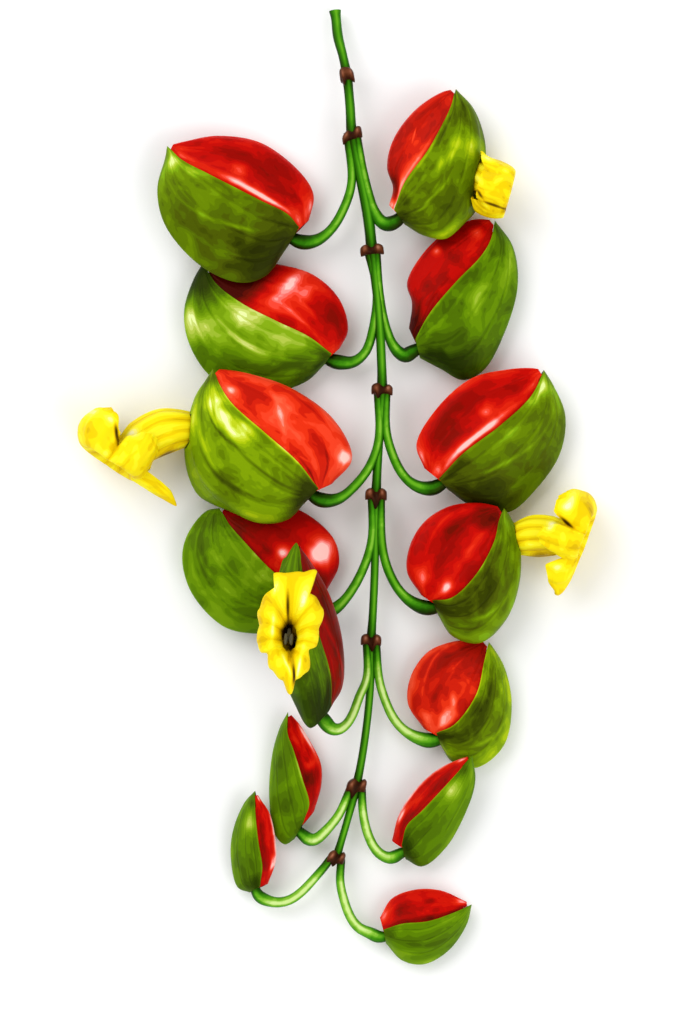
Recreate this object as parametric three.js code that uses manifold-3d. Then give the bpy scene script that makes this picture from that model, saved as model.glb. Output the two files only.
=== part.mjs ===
// Clock vine: one cut hanging spray laid on its side.
// Millimetres, +Z up. The stem runs along Y with its cut end at +Y, and the pods lie to its left and right.
// The origin is at the middle of the underside.

import * as THREE from "three";
import { mergeVertices } from "three/addons/utils/BufferGeometryUtils.js";
import Module from "manifold-3d";

const wasm = await Module();
wasm.setup();

// Driving dimensions
const SPRAY_LENGTH = 230; // from the cut end to the lowest pod
const BLADE = 0.85; // thickness of a bract
const PETAL = 0.7; // thickness of a corolla
const SPECK = 0.03; // detail smaller than this is smoothed away after a cut
const CLEARANCE = 0.33; // gap between pieces that touch
const STEM_ROOM = CLEARANCE + 0.12; // what the brown scales keep clear of the stem
const FOOT_ROOM = CLEARANCE + 0.25; // what the bracts keep clear of it
const SEAM_ROOM = CLEARANCE + 0.25; // what the red bract keeps clear of the green one
const KEEN_EDGE = 1.5; // power of the lens section of a pod with a sharp edge
const RESTING_EDGE = 0.5; // the same for the underside of a pod that the spray lies on, which is blunt
const LIP = 0.9; // how far the green bract's edge lies over the red one
const LIP_BEGINS = 1.8; // the lip grows where half the pod is this thick
const LIP_FULL = 2.8; // and is whole where it is this thick
const PEDICEL_RADIUS = 1.0;
const NECK_RADIUS = 0.8; // the tip of a flower stalk inside its pod
const NECK_LENGTH = 1.6;
const TUBE_RIB = 0.16; // height of the ribs along a corolla's tube
const RIM_WAVES = 7; // waves of the crumpling round a corolla's rim
const OPENING_ROOM = PETAL / 2 + TUBE_RIB + CLEARANCE + 0.3; // how much wider than the tube a bract opens
const OPENING_DEPTH = 1.0; // and how far before the tube the opening starts
const THICKEST = 0.35; // where a pod is thickest, as a share of the way from its base to its tip
const FOOT_HALF = 2.9; // half the thickness of a pod at its base, at most
const FOOT_SHARE = 0.72; // and at most this share of its greatest half thickness
const RED_TIP_BACK = 1.2; // the red bract stops this far short of the green one's tip
const NODE_DEPTH = 2.7; // half depth of the brown scales at a node
const NODE_NOTCH = 0.35; // how deep the notch between a node's two scales is
const NOTCH_WIDTH = 0.3; // and how wide, both as shares of the node
const STALK_ROOT = { aside: 0.55, above: 0.2, before: 1.0, radius: 0.75 }; // where a stalk leaves the stem
const ANTHERS = { pod: "left_5", px: [289, 638], z: 29.2, apart: 0.62, size: [0.5, 1.4, 0.8] };
const THREAD_RADIUS = 0.42; // the thread that carries the anthers
const SWELLING = { shoulder: 1.3, thickest: 2.6, waning: 5, end: 9 }; // a stalk's thick end, from the neck
const STALK_SHOULDER = 1.8; // the stalk turns in line with the pod this far before its foot

// The reference picture, in pixels: what the spray spans in it
const PICTURE = { left: 78, right: 594, top: 9, bottom: 965 };
const SCALE = SPRAY_LENGTH / (PICTURE.bottom - PICTURE.top);
const MIDDLE_X = (PICTURE.left + PICTURE.right) / 2;
const MIDDLE_Y = (PICTURE.top + PICTURE.bottom) / 2;

// Resolution of the faceted blades
const ROWS = 8;
const FRONT_STEPS = { green: 6, red: 5 };
const BACK_STEPS = { green: 3, red: 3 };
const COROLLA_COLUMNS = 20;
const TUBE_ROWS = 5;
const OPENING_SIDES = 10;
const OPENING_RINGS = 7;
const STEM_RINGS_PER_STEP = 1.15;
const STEM_SIDES = 8;
const STEM_SEARCH = 300; // places tried along the stem to find a node
const STALK_STEPS = 4;
const STALK_SIDES = 6;
const BEAD_SEGMENTS = [10, 6];

const UP = new THREE.Vector3(0, 0, 1);

const COLOURS = {
  stem: { color: 0x3f8f10, roughness: 0.45 },
  scale: { color: 0x4f2817, roughness: 0.7 },
  green: { color: 0x6a8f08, roughness: 0.35 },
  red: { color: 0xc81408, roughness: 0.3 },
  corolla: { color: 0xf6d70c, roughness: 0.5 },
  anther: { color: 0x8d8a78, roughness: 0.7 },
};

// A picture point as a place in the part, at height z.
function at([x, y], z = 0) {
  return new THREE.Vector3((x - MIDDLE_X) * SCALE, (MIDDLE_Y - y) * SCALE, z);
}

// The stem: picture x and y, height z and radius, from the cut end to the last node.
const STEM_PATH = [
  { px: [335, 10], z: 2.6, radius: 1.45 },
  { px: [336, 18], z: 3.0, radius: 1.2 },
  { px: [338, 36], z: 3.9, radius: 1.22 },
  { px: [343, 56], z: 4.8, radius: 1.08 },
  { px: [347, 76], z: 5.5, radius: 1.1 },
  { px: [350, 105], z: 6.1, radius: 1.15 },
  { px: [352, 135], z: 6.5, radius: 1.2 },
  { px: [359, 170], z: 6.7, radius: 1.2 },
  { px: [368, 215], z: 6.9, radius: 1.35 },
  { px: [372, 251], z: 7.0, radius: 1.25 },
  { px: [378, 305], z: 7.2, radius: 1.05 },
  { px: [381, 350], z: 7.4, radius: 1.1 },
  { px: [382, 390], z: 7.5, radius: 1.15 },
  { px: [379, 440], z: 7.5, radius: 1.05 },
  { px: [376, 496], z: 7.4, radius: 1.1 },
  { px: [375, 560], z: 7.0, radius: 0.98 },
  { px: [373, 610], z: 6.7, radius: 0.98 },
  { px: [371, 642], z: 6.5, radius: 1.05 },
  { px: [370, 690], z: 6.0, radius: 0.95 },
  { px: [364, 745], z: 5.4, radius: 0.95 },
  { px: [356, 788], z: 5.0, radius: 1.0 },
  { px: [347, 822], z: 4.6, radius: 0.9 },
  { px: [336, 859], z: 4.2, radius: 0.95 },
];

// The brown scales at the nodes: place, half width across the stem and half height along it.
const NODE_SCALES = [
  { px: [347, 76], width: 1.95, height: 2.2 },
  { px: [352, 136], width: 2.75, height: 1.8 },
  { px: [372, 251], width: 2.95, height: 1.7 },
  { px: [382, 390], width: 2.85, height: 1.7 },
  { px: [376, 495], width: 2.75, height: 1.8 },
  { px: [371, 641], width: 2.75, height: 1.7 },
  { px: [355, 787], width: 2.6, height: 2.1 },
  { px: [335, 859], width: 2.6, height: 2.0 },
];

// The fourteen pods. Every outline runs from the pod's base to its tip.
// green and red are the outer edges of the two bracts, seam is where they meet, and stalk is the route of
// the flower stalk. half is half the pod's thickness and lift the height of its seam's base. swollen is the
// radius of the stalk's thick end. rise lifts the tip and roll, in degrees, lifts the green side. hollow
// dishes the red face. edge is the power of the lens section, low being blunt. flare spreads the back half of
// the green bract, so that it shows beside the front.
const PODS = [
  {
    name: "left_1",
    base: [299, 230],
    seam: [[288, 218], [258, 204], [205, 176], [179, 160]],
    tip: [167, 146],
    green: [[287, 248], [265, 277], [240, 284], [201, 268], [165, 227], [157, 190], [165, 158]],
    red: [[309, 220], [314, 195], [303, 174], [262, 142], [218, 135], [185, 141]],
    half: 5.4, swollen: 1.9, lift: 6.7, rise: 0, roll: 10, hollow: 1.3,
    stalk: { node: 1, side: -1, px: [[352, 182], [345, 206], [332, 229], [317, 241], [304, 243]] },
  },
  {
    name: "left_2",
    base: [332, 354],
    seam: [[311, 338], [274, 320], [240, 302], [215, 282]],
    tip: [203, 262],
    green: [[325, 364], [307, 381], [275, 392], [240, 391], [209, 375], [188, 341], [184, 310], [193, 280]],
    red: [[340, 348], [348, 330], [340, 300], [314, 275], [278, 264], [235, 260]],
    half: 5.4, swollen: 1.9, lift: 4.8, rise: 0, roll: 0, hollow: 0,
    stalk: { node: 2, side: -1, px: [[377, 290], [373, 330], [365, 354], [350, 364], [337, 361]] },
  },
  {
    name: "left_3",
    base: [319, 489],
    seam: [[300, 464], [263, 431], [232, 403], [220, 385]],
    tip: [213, 369],
    green: [[306, 502], [287, 520], [254, 522], [206, 488], [190, 445], [196, 397], [206, 380]],
    red: [[332, 484], [352, 459], [335, 421], [293, 389], [250, 374], [228, 370]],
    half: 5.8, swollen: 1.9, lift: 9.9, rise: 0.3, roll: 0, hollow: 0, edge: 0.7, flare: 0.34,
    stalk: { node: 3, side: -1, px: [[379, 440], [369, 468], [355, 486], [338, 500], [322, 501]] },
  },
  {
    name: "left_4",
    base: [318, 602],
    seam: [[300, 592], [271, 571], [243, 541], [227, 521]],
    tip: [219, 508],
    green: [[312, 615], [290, 631], [258, 634], [224, 627], [192, 594], [182, 560], [187, 535], [206, 511]],
    red: [[326, 592], [339, 565], [335, 541], [313, 518], [283, 504], [245, 502]],
    half: 5.3, swollen: 1.9, lift: 4.7, rise: 0, roll: 3, hollow: 0,
    stalk: { node: 4, side: -1, px: [[372, 540], [361, 574], [345, 600], [334, 610], [322, 614]] },
  },
  {
    // turned nearly edge-on: its outlines are given as if it were rolled back flat
    name: "left_5",
    base: [323, 707],
    seam: [[316, 681], [295, 630], [285, 572]],
    tip: [296, 539],
    green: [[311, 720], [300, 725], [286, 702], [271, 660], [267, 617], [274, 579], [286, 553]],
    red: [[334, 706], [352, 690], [353, 640], [336, 590], [312, 556]],
    half: 5.4, swollen: 1.9, lift: 13.6, rise: 8.4, roll: 52, hollow: 0, edge: 0.7,
    stalk: { node: 5, side: -1, px: [[367, 680], [360, 694], [353, 714], [344, 727], [332, 730]] },
  },
  {
    name: "left_6",
    base: [306, 826],
    seam: [[311, 806], [304, 780], [294, 749], [288, 733]],
    tip: [288, 712],
    green: [[294, 840], [285, 845], [275, 836], [269, 800], [272, 755], [280, 727]],
    red: [[314, 812], [321, 787], [321, 765], [311, 743], [299, 724]],
    half: 3.7, swollen: 1.65, lift: 3.35, rise: 0, roll: -4, hollow: 0.5,
    stalk: { node: 6, side: -1, px: [[345, 802], [339, 815], [326, 831], [314, 841], [306, 839]] },
  },
  {
    name: "left_7",
    base: [262, 888],
    seam: [[265, 868], [261, 842], [257, 812]],
    tip: [255, 791],
    green: [[249, 893], [237, 888], [230, 860], [232, 832], [244, 803]],
    red: [[268, 884], [276, 862], [276, 842], [270, 814], [261, 800]],
    half: 3.3, swollen: 1.55, lift: 4.5, rise: 0, roll: -12, hollow: 0.4,
    stalk: {
      node: 7,
      side: -1,
      px: [[327, 864], [315, 878], [302, 892], [289, 901], [274, 903], [262, 899]],
    },
  },
  {
    name: "right_1",
    base: [394, 212],
    seam: [[405, 187], [430, 153], [441, 133], [452, 108]],
    tip: [456, 89],
    green: [[405, 225], [424, 236], [447, 239], [468, 217], [475, 190], [481, 140], [473, 109]],
    red: [[389, 205], [393, 188], [387, 168], [393, 140], [415, 110], [442, 92]],
    half: 5.3, swollen: 1.9, lift: 7.2, rise: 0, roll: 8, hollow: 0.8, edge: 0.7, flare: 0.36,
    stalk: { node: 1, side: 1, px: [[362, 166], [368, 192], [375, 213], [384, 225]] },
  },
  {
    name: "right_2",
    base: [413, 341],
    seam: [[428, 315], [456, 282], [481, 256], [491, 239]],
    tip: [495, 220],
    green: [[420, 358], [441, 369], [463, 380], [484, 370], [505, 332], [518, 285], [513, 246]],
    red: [[409, 328], [412, 303], [407, 283], [424, 252], [450, 229], [475, 219]],
    half: 5.1, swollen: 1.9, lift: 4.5, rise: 0, roll: 0, hollow: 0,
    stalk: { node: 2, side: 1, px: [[379, 290], [385, 325], [395, 349], [407, 358]] },
  },
  {
    name: "right_3",
    base: [437, 478],
    seam: [[460, 452], [497, 424], [530, 394]],
    tip: [544, 370],
    green: [[447, 489], [470, 505], [509, 513], [537, 490], [561, 454], [566, 416], [554, 386]],
    red: [[424, 468], [416, 444], [438, 406], [471, 378], [509, 369], [532, 368]],
    half: 5.4, swollen: 1.9, lift: 6.9, rise: 0, roll: -9, hollow: 1.3,
    stalk: { node: 3, side: 1, px: [[386, 430], [393, 456], [405, 478], [420, 488], [434, 489]] },
  },
  {
    name: "right_4",
    base: [433, 600],
    seam: [[450, 598], [474, 576], [493, 543], [499, 520]],
    tip: [504, 508],
    green: [[438, 615], [452, 636], [480, 643], [506, 620], [520, 580], [519, 538], [510, 516]],
    red: [[421, 595], [407, 572], [410, 545], [425, 521], [450, 506], [480, 503]],
    half: 5.7, swollen: 1.9, lift: 7.7, rise: 0, roll: 0, hollow: 0.9, edge: 0.7,
    stalk: { node: 4, side: 1, px: [[382, 545], [388, 570], [400, 592], [414, 604], [427, 609]] },
  },
  {
    name: "right_5",
    base: [436, 733],
    seam: [[453, 725], [475, 696], [484, 662]],
    tip: [489, 642],
    green: [[441, 746], [452, 762], [477, 768], [504, 746], [512, 705], [505, 668], [495, 650]],
    red: [[424, 729], [408, 704], [411, 676], [428, 652], [452, 642], [475, 640]],
    half: 4.6, swollen: 1.9, lift: 4.1, rise: 0, roll: 0, hollow: 0.6,
    stalk: { node: 5, side: 1, px: [[379, 680], [385, 700], [395, 721], [410, 735], [427, 741]] },
  },
  {
    name: "right_6",
    base: [400, 846],
    seam: [[407, 825], [423, 809], [441, 790], [461, 768]],
    tip: [473, 754],
    green: [[406, 860], [422, 867], [446, 848], [468, 808], [476, 780]],
    red: [[392, 841], [399, 815], [415, 790], [438, 769], [458, 759]],
    half: 3.9, swollen: 1.6, lift: 3.9, rise: 4.1, roll: 0, hollow: 0.4,
    stalk: { node: 6, side: 1, px: [[363, 813], [368, 835], [377, 852], [386, 858], [394, 859]] },
  },
  {
    name: "right_7",
    base: [383, 930],
    seam: [[401, 924], [429, 921], [456, 912]],
    tip: [472, 905],
    green: [[386, 944], [402, 961], [424, 965], [449, 951], [467, 925]],
    red: [[380, 918], [392, 899], [416, 890], [441, 891], [462, 900]],
    half: 3.9, swollen: 1.6, lift: 3.45, rise: 0, roll: 0, hollow: 0.4,
    stalk: { node: 7, side: 1, px: [[340, 882], [343, 897], [350, 917], [359, 929], [374, 935]] },
  },
];

// The four open flowers. tube is the route of the corolla tube with its radii, from inside the pod to the
// throat. face is the middle of the mouth, facing its outlook and up the way to its hood. mouth is how much
// wider and higher than round it is. rim goes round the lobes in steps of [turn, reach, back, curl]: the turn
// in degrees from the flower's right, how far the rim goes out from the middle, how far it rolls back and how
// far its end turns in again. A flower whose two sides are alike gives one side only.
const COROLLAS = [
  {
    pod: "left_3",
    tube: [
      { px: [218, 432], z: 5.8, radius: 2.2 },
      { px: [192, 429], z: 6.3, radius: 3.8 },
      { px: [165, 431], z: 7.6, radius: 5.2 },
      { px: [143, 441], z: 9, radius: 5.1 },
      { px: [126, 454], z: 9.7, radius: 4.1 },
    ],
    face: { px: [114, 465], z: 9.9 },
    facing: [-0.56, -0.82, 0.12],
    up: [-0.83, 0.56, 0],
    mouth: [1, 1],
    alike: true,
    rim: [
      [-90, 16.8, 1, 0], [-82, 15.4, 2.8, 0], [-70, 8, 3, 0], [-56, 9.6, 7.5, 0],
      [-32, 9.3, 10.5, 0.5], [-10, 8.8, 9.5, 0.5], [15, 6.5, 4, 0], [35, 10.5, 9.6, 1],
      [58, 12.6, 10.4, 3], [78, 12.7, 10, 3.8], [90, 12.2, 8, 4],
    ],
    crumple: 0.3,
  },
  {
    pod: "left_5",
    tube: [
      { px: [298, 644], z: 19.7, radius: 1.6 },
      { px: [291, 640], z: 23.6, radius: 2.5 },
      { px: [289, 637], z: 26, radius: 3.2 },
      { px: [290, 636], z: 28.6, radius: 3.3 },
    ],
    face: { px: [290, 632], z: 32 },
    facing: [0.04, 0.02, 1],
    up: [0.07, 1, -0.02],
    mouth: [0.62, 1.16],
    alike: false,
    rim: [
      [-85, 14.5, 3.6, 0], [-78, 11, 3.4, 0], [-62, 10.1, 4.2, 0.3], [-36, 6, 2.6, 0],
      [-19, 7.1, 4.6, 0.3], [10, 7, 5, 0.3], [42, 9.9, 5.4, 0.4], [60, 10.7, 4.4, 0.2],
      [67, 10.6, 2.6, 0], [70.5, 16.3, 4, 0], [82, 14.8, 3, 0], [97, 14.3, 3, 0],
      [108, 14.7, 4, 0], [112, 11.2, 2.6, 0], [121, 10.9, 4.4, 0.2], [146, 9.1, 5.4, 0.4],
      [170, 7.2, 5, 0.3], [200, 7.8, 4.8, 0.3], [217, 8, 4.4, 0.2], [226, 7, 2.6, 0],
      [248, 9.6, 4.2, 0.3], [266, 11.2, 3.2, 0],
    ],
    crumple: 0.2,
  },
  {
    pod: "right_4",
    tube: [
      { px: [506, 541], z: 4.4, radius: 2.7 },
      { px: [517, 539], z: 4.9, radius: 3.7 },
      { px: [535, 536], z: 6.4, radius: 4.8 },
      { px: [553, 536], z: 8, radius: 4.5 },
      { px: [567, 538], z: 9, radius: 3.6 },
    ],
    face: { px: [583, 541], z: 9.6 },
    facing: [0.94, -0.34, 0.12],
    up: [0.34, 0.94, 0],
    mouth: [1, 1],
    alike: true,
    rim: [
      [90, 10.8, 6.5, 2], [105, 11.6, 7.5, 1.8], [125, 11.2, 8.8, 1.5], [145, 8.2, 8.6, 0.5],
      [160, 5.8, 4.6, 0], [176, 7.4, 9.2, 0.3], [196, 8.2, 10, 0.5], [214, 8.2, 8.3, 0.3],
      [228, 7, 2.6, 0], [242, 9.6, 6.2, 0], [256, 12.2, 4.6, 0.5], [270, 14.2, 2.4, 0.6],
    ],
    crumple: 0.3,
  },
  {
    pod: "right_1",
    tube: [
      { px: [462, 168], z: 4.8, radius: 2.2 },
      { px: [477, 175], z: 5.4, radius: 3.8 },
      { px: [488, 181], z: 7.4, radius: 4.4 },
      { px: [496, 187], z: 9.4, radius: 3.9 },
    ],
    face: { px: [510, 196], z: 11.2 },
    facing: [0.95, -0.24, 0.28],
    up: [0.24, 0.97, 0],
    mouth: [1, 1],
    alike: true,
    rim: [
      [90, 8.2, 6.8, 0.6], [115, 7.6, 6, 0.8], [140, 6.2, 4, 0], [165, 7.2, 7, 0.8],
      [195, 6.8, 6.5, 0.6], [222, 5.6, 3.4, 0], [250, 6.2, 4.6, 0.6], [270, 6.4, 4.2, 0.4],
    ],
    crumple: 0.6,
  },
];

// The limb's profile from the mouth to the rim, as shares of the rim's reach, back and curl.
const LIMB = [
  { out: 0.5, back: 0, curl: 0 },
  { out: 0.9, back: 0.2, curl: 0 },
  { out: 1, back: 0.78, curl: 0.06 },
  { out: 1, back: 1, curl: 1 },
];

const clamp = THREE.MathUtils.clamp;
const lerp = THREE.MathUtils.lerp;
const smoothstep = THREE.MathUtils.smoothstep;
const degrees = THREE.MathUtils.degToRad;

// A smooth curve through points.
function through(points) {
  return new THREE.CatmullRomCurve3(points, false, "centripetal");
}

// A value read off a list at t from 0 to 1, with straight runs between the entries.
function along(values, t) {
  const place = clamp(t, 0, 1) * (values.length - 1);
  const low = Math.min(Math.floor(place), values.length - 2);
  return lerp(values[low], values[low + 1], place - low);
}

// How wide the space inside a wall is, for an outer half width: never less than nothing.
function inside(width, wall) {
  return width - wall * (1 - Math.exp(-width / wall));
}

// A closed sheet with two faces. Rows of points run across it; a row of one point is a tip.
// Where the sheet wraps, its last column joins its first. Both faces are split along the same diagonals.
function sheetGeometry(front, back, wraps) {
  const points = [];
  const index = [];
  const number = (rows) => rows.map((row) => row.map((point) => points.push(point) - 1));
  const faces = [number(front), number(back)];
  const widest = Math.max(...front.map((row) => row.length));
  const columns = wraps ? widest : widest - 1;
  const pick = (face, i, j) => {
    const row = faces[face][i];
    return row.length === 1 ? row[0] : row[j % row.length];
  };
  const triangle = (a, b, c) => {
    if (a !== b && b !== c && a !== c) index.push(a, b, c);
  };
  const quad = (a, b, c, d) => {
    triangle(a, b, c);
    triangle(a, c, d);
  };
  const last = front.length - 1;
  for (let i = 0; i < last; i += 1) {
    for (let j = 0; j < columns; j += 1) {
      quad(pick(0, i, j), pick(0, i, j + 1), pick(0, i + 1, j + 1), pick(0, i + 1, j));
      triangle(pick(1, i, j), pick(1, i + 1, j + 1), pick(1, i, j + 1));
      triangle(pick(1, i, j), pick(1, i + 1, j), pick(1, i + 1, j + 1));
    }
    if (!wraps) {
      quad(pick(0, i, 0), pick(0, i + 1, 0), pick(1, i + 1, 0), pick(1, i, 0));
      quad(pick(0, i, columns), pick(1, i, columns), pick(1, i + 1, columns), pick(0, i + 1, columns));
    }
  }
  for (let j = 0; j < columns; j += 1) {
    quad(pick(0, 0, j), pick(1, 0, j), pick(1, 0, j + 1), pick(0, 0, j + 1));
    if (front[last].length > 1) {
      quad(pick(0, last, j), pick(0, last, j + 1), pick(1, last, j + 1), pick(1, last, j));
    }
  }
  return facingOut(points, index);
}

// A geometry of these points and triangles, turned so that its faces point outwards.
function facingOut(points, index) {
  let volume = 0;
  for (let i = 0; i < index.length; i += 3) {
    const [a, b, c] = [points[index[i]], points[index[i + 1]], points[index[i + 2]]];
    volume += a.dot(b.clone().cross(c));
  }
  if (volume < 0) {
    for (let i = 0; i < index.length; i += 3) {
      [index[i + 1], index[i + 2]] = [index[i + 2], index[i + 1]];
    }
  }
  const geometry = new THREE.BufferGeometry().setFromPoints(points);
  geometry.setIndex(index);
  return geometry;
}

// A closed tube through rings, each with a centre, a direction ahead and a radius.
function taperedTube(rings, sides, reference = UP) {
  const points = [];
  const index = [];
  for (const { centre, ahead, radius } of rings) {
    const across = ahead.clone().cross(reference).normalize();
    const over = across.clone().cross(ahead).normalize();
    for (let j = 0; j < sides; j += 1) {
      const turn = (2 * Math.PI * (j + 0.5)) / sides;
      const point = centre.clone();
      point.addScaledVector(across, radius * Math.cos(turn));
      point.addScaledVector(over, radius * Math.sin(turn));
      points.push(point);
    }
  }
  const steps = rings.length - 1;
  for (let i = 0; i < steps; i += 1) {
    for (let j = 0; j < sides; j += 1) {
      const next = (j + 1) % sides;
      const [a, b] = [i * sides + j, i * sides + next];
      index.push(a, b, b + sides, a, b + sides, a + sides);
    }
  }
  const end = steps * sides;
  for (let j = 1; j < sides - 1; j += 1) {
    index.push(0, j + 1, j, end, end + j, end + j + 1);
  }
  return facingOut(points, index);
}

// The same rings with one more before the first and after the last, so that a tube through them is longer.
function lengthened(rings, by) {
  const moved = (ring, far) => ({ ...ring, centre: ring.centre.clone().addScaledVector(ring.ahead, far) });
  return [moved(rings[0], -by), ...rings, moved(rings[rings.length - 1], by)];
}

// A geometry as a solid that can be joined and cut.
function solidOf(geometry) {
  const bare = geometry.clone();
  bare.deleteAttribute("normal");
  bare.deleteAttribute("uv");
  const merged = mergeVertices(bare, 1e-4);
  return new wasm.Manifold(
    new wasm.Mesh({
      numProp: 3,
      vertProperties: new Float32Array(merged.attributes.position.array),
      triVerts: new Uint32Array(merged.index.array),
    }),
  );
}

// The largest body of a solid, as a geometry: scraps that a cut leaves are dropped.
function geometryOf(solid) {
  const largest = solid.decompose().reduce((a, b) => (b.volume() > a.volume() ? b : a));
  const mesh = largest.simplify(SPECK).getMesh();
  const positions = new Float32Array(mesh.numVert * 3);
  for (let i = 0; i < mesh.numVert; i += 1) {
    positions.set(mesh.vertProperties.subarray(i * mesh.numProp, i * mesh.numProp + 3), i * 3);
  }
  const geometry = new THREE.BufferGeometry();
  geometry.setAttribute("position", new THREE.BufferAttribute(positions, 3));
  geometry.setIndex(new THREE.BufferAttribute(new Uint32Array(mesh.triVerts), 1));
  return geometry;
}

function meshOf(name, geometry, look) {
  geometry.computeVertexNormals();
  const material = new THREE.MeshStandardMaterial({ ...COLOURS[look], metalness: 0 });
  const mesh = new THREE.Mesh(geometry, material);
  mesh.name = name;
  return mesh;
}

// The frame of a pod: its origin at the seam's base, X to the tip, Y to the green side and Z up, then tilted.
function podFrame(pod) {
  const base = at(pod.base, pod.lift);
  const tip = at(pod.tip, pod.lift + pod.rise);
  const axis = tip.clone().sub(base).normalize();
  const flatAxis = at(pod.tip).sub(at(pod.base)).normalize();
  const middleOfGreen = at(pod.green[Math.floor(pod.green.length / 2)]).sub(at(pod.base));
  const side = middleOfGreen.addScaledVector(flatAxis, -middleOfGreen.dot(flatAxis)).normalize();
  const up = new THREE.Vector3().crossVectors(axis, side);
  const front = up.z < 0 ? -1 : 1;
  up.multiplyScalar(front).normalize();
  const roll = degrees(pod.roll);
  const green = side.clone().multiplyScalar(Math.cos(roll)).addScaledVector(up, Math.sin(roll));
  const outward = up.clone().multiplyScalar(Math.cos(roll)).addScaledVector(side, -Math.sin(roll));
  return { base, axis, green, outward, flatAxis, side };
}

// A point of the flat pod, at h above its middle plane, as a place in the part.
function placed(frame, flat, h) {
  const offset = flat.clone().sub(frame.flatBase);
  return frame.base
    .clone()
    .addScaledVector(frame.axis, offset.dot(frame.flatAxis))
    .addScaledVector(frame.green, offset.dot(frame.side))
    .addScaledVector(frame.outward, h);
}

// Half the pod's thickness at its seam, from the base at 0 to the tip at 1.
function halfThickness(pod, u) {
  const start = Math.min(FOOT_HALF, pod.half * FOOT_SHARE);
  const swell = lerp(start, pod.half, Math.sin((Math.PI / 2) * Math.min(1, u / THICKEST)));
  const taper = 1 - Math.max(0, (u - THICKEST) / (1 - THICKEST)) ** 2.2;
  return swell * Math.max(0, taper) ** 0.7;
}

// Rows stand closer together near the base and the tip.
function rowPlace(i) {
  const even = i / ROWS;
  return lerp(even, (1 - Math.cos(Math.PI * even)) / 2, 0.6);
}

// One bract: a blade folded round the pod's green or red edge, open along the seam and at the stalk.
function bractGeometry(pod, kind) {
  const frame = { ...podFrame(pod), flatBase: at(pod.base) };
  const seam = through([pod.base, ...pod.seam, pod.tip].map((px) => at(px)));
  const edge = through([...pod[kind], pod.tip].map((px) => at(px)));
  const length = seam.getLength();
  const green = kind === "green";
  const [frontSteps, backSteps] = [FRONT_STEPS[kind], BACK_STEPS[kind]];
  const columns = frontSteps + backSteps;
  const lapAt = (u) => LIP * smoothstep(halfThickness(pod, u), LIP_BEGINS, LIP_FULL);
  const middleAt = (u) => {
    const tangent = seam.getTangentAt(u);
    const normal = new THREE.Vector3(-tangent.y, tangent.x, 0).normalize();
    const greenward = normal.multiplyScalar(normal.dot(frame.side) < 0 ? -1 : 1);
    return seam.getPointAt(u).addScaledVector(greenward, lapAt(u) - (green ? 0 : SEAM_ROOM));
  };
  const pointAt = (u, column, wall) => {
    const turn =
      column <= frontSteps
        ? (Math.PI / 2) * (column / frontSteps)
        : (Math.PI / 2) * (1 + (column - frontSteps) / backSteps);
    const reach = u * (1 - wall / length);
    const middle = middleAt(reach);
    const out = edge.getPointAt(reach).sub(middle);
    const width = out.length();
    const full = halfThickness(pod, reach);
    const tucked = full - inside(full, BLADE) + SEAM_ROOM;
    const half = green ? full : full - tucked * smoothstep(full, 1.1, 1.9);
    const from = green ? lapAt(reach) : 0;
    const inner = wall > 0 ? inside(Math.max(width, 0.01), wall) : width;
    const high = wall > 0 ? inside(Math.max(half, 0.01), wall) : half;
    const share = Math.sin(turn);
    let across = -from + (inner + from) * share;
    const resting = turn > Math.PI / 2 && pod.lift < pod.half;
    const power = resting ? RESTING_EDGE : pod.edge ?? KEEN_EDGE;
    const blunt = lerp(KEEN_EDGE, power, Math.sin(Math.PI * reach) ** 0.5);
    let h = high * Math.sign(Math.cos(turn)) * Math.abs(Math.cos(turn)) ** blunt;
    if (Math.abs(Math.cos(turn)) < 1e-6) h = 0;
    const swell = Math.sin(Math.PI * reach) ** 0.7;
    if (turn < Math.PI / 2) {
      const rib = green ? Math.cos(Math.PI * column) * 0.22 : Math.cos(Math.PI * column) * 0.1;
      const inPlay = column > 0 && column < frontSteps ? 1 : 0;
      h -= rib * swell * inPlay;
      if (!green) h -= pod.hollow * swell * Math.sin(Math.PI * Math.min(1, across / inner)) ** 2;
    }
    if (turn > Math.PI / 2 && pod.flare && green) {
      const spread = swell * smoothstep(reach, 0.25, 0.5) * Math.sin(2 * (turn - Math.PI / 2));
      across *= 1 + pod.flare * spread;
    }
    const flat = middle.clone().addScaledVector(out.normalize(), Math.max(across, -from));
    const point = placed(frame, flat, h);
    point.z = Math.max(point.z, wall + (green ? 0 : BLADE + SEAM_ROOM));
    return point;
  };
  const face = (wall) => {
    const rows = [];
    for (let i = 0; i < ROWS; i += 1) {
      const row = [];
      for (let j = 0; j <= columns; j += 1) row.push(pointAt(rowPlace(i), j, wall));
      rows.push(row);
    }
    const setBack = green ? 0 : RED_TIP_BACK;
    const reach = 1 - (wall + setBack) / length;
    rows.push([placed(frame, middleAt(reach), 0)]);
    return rows;
  };
  return sheetGeometry(face(0), face(BLADE), false);
}

// The direction from a flower's mouth to its hood, square to where the mouth faces.
function hoodward(flower) {
  const facing = new THREE.Vector3(...flower.facing).normalize();
  const up = new THREE.Vector3(...flower.up);
  return up.addScaledVector(facing, -up.dot(facing)).normalize();
}

// The route of a corolla's tube as count rings, each wider than the tube by extra.
function tubeRings(flower, count, extra) {
  const route = through(flower.tube.map((step) => at(step.px, step.z)));
  const radii = flower.tube.map((step) => step.radius);
  return Array.from({ length: count }, (_, i) => {
    const t = i / (count - 1);
    return { centre: route.getPoint(t), ahead: route.getTangent(t), radius: along(radii, t) + extra };
  });
}

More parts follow.
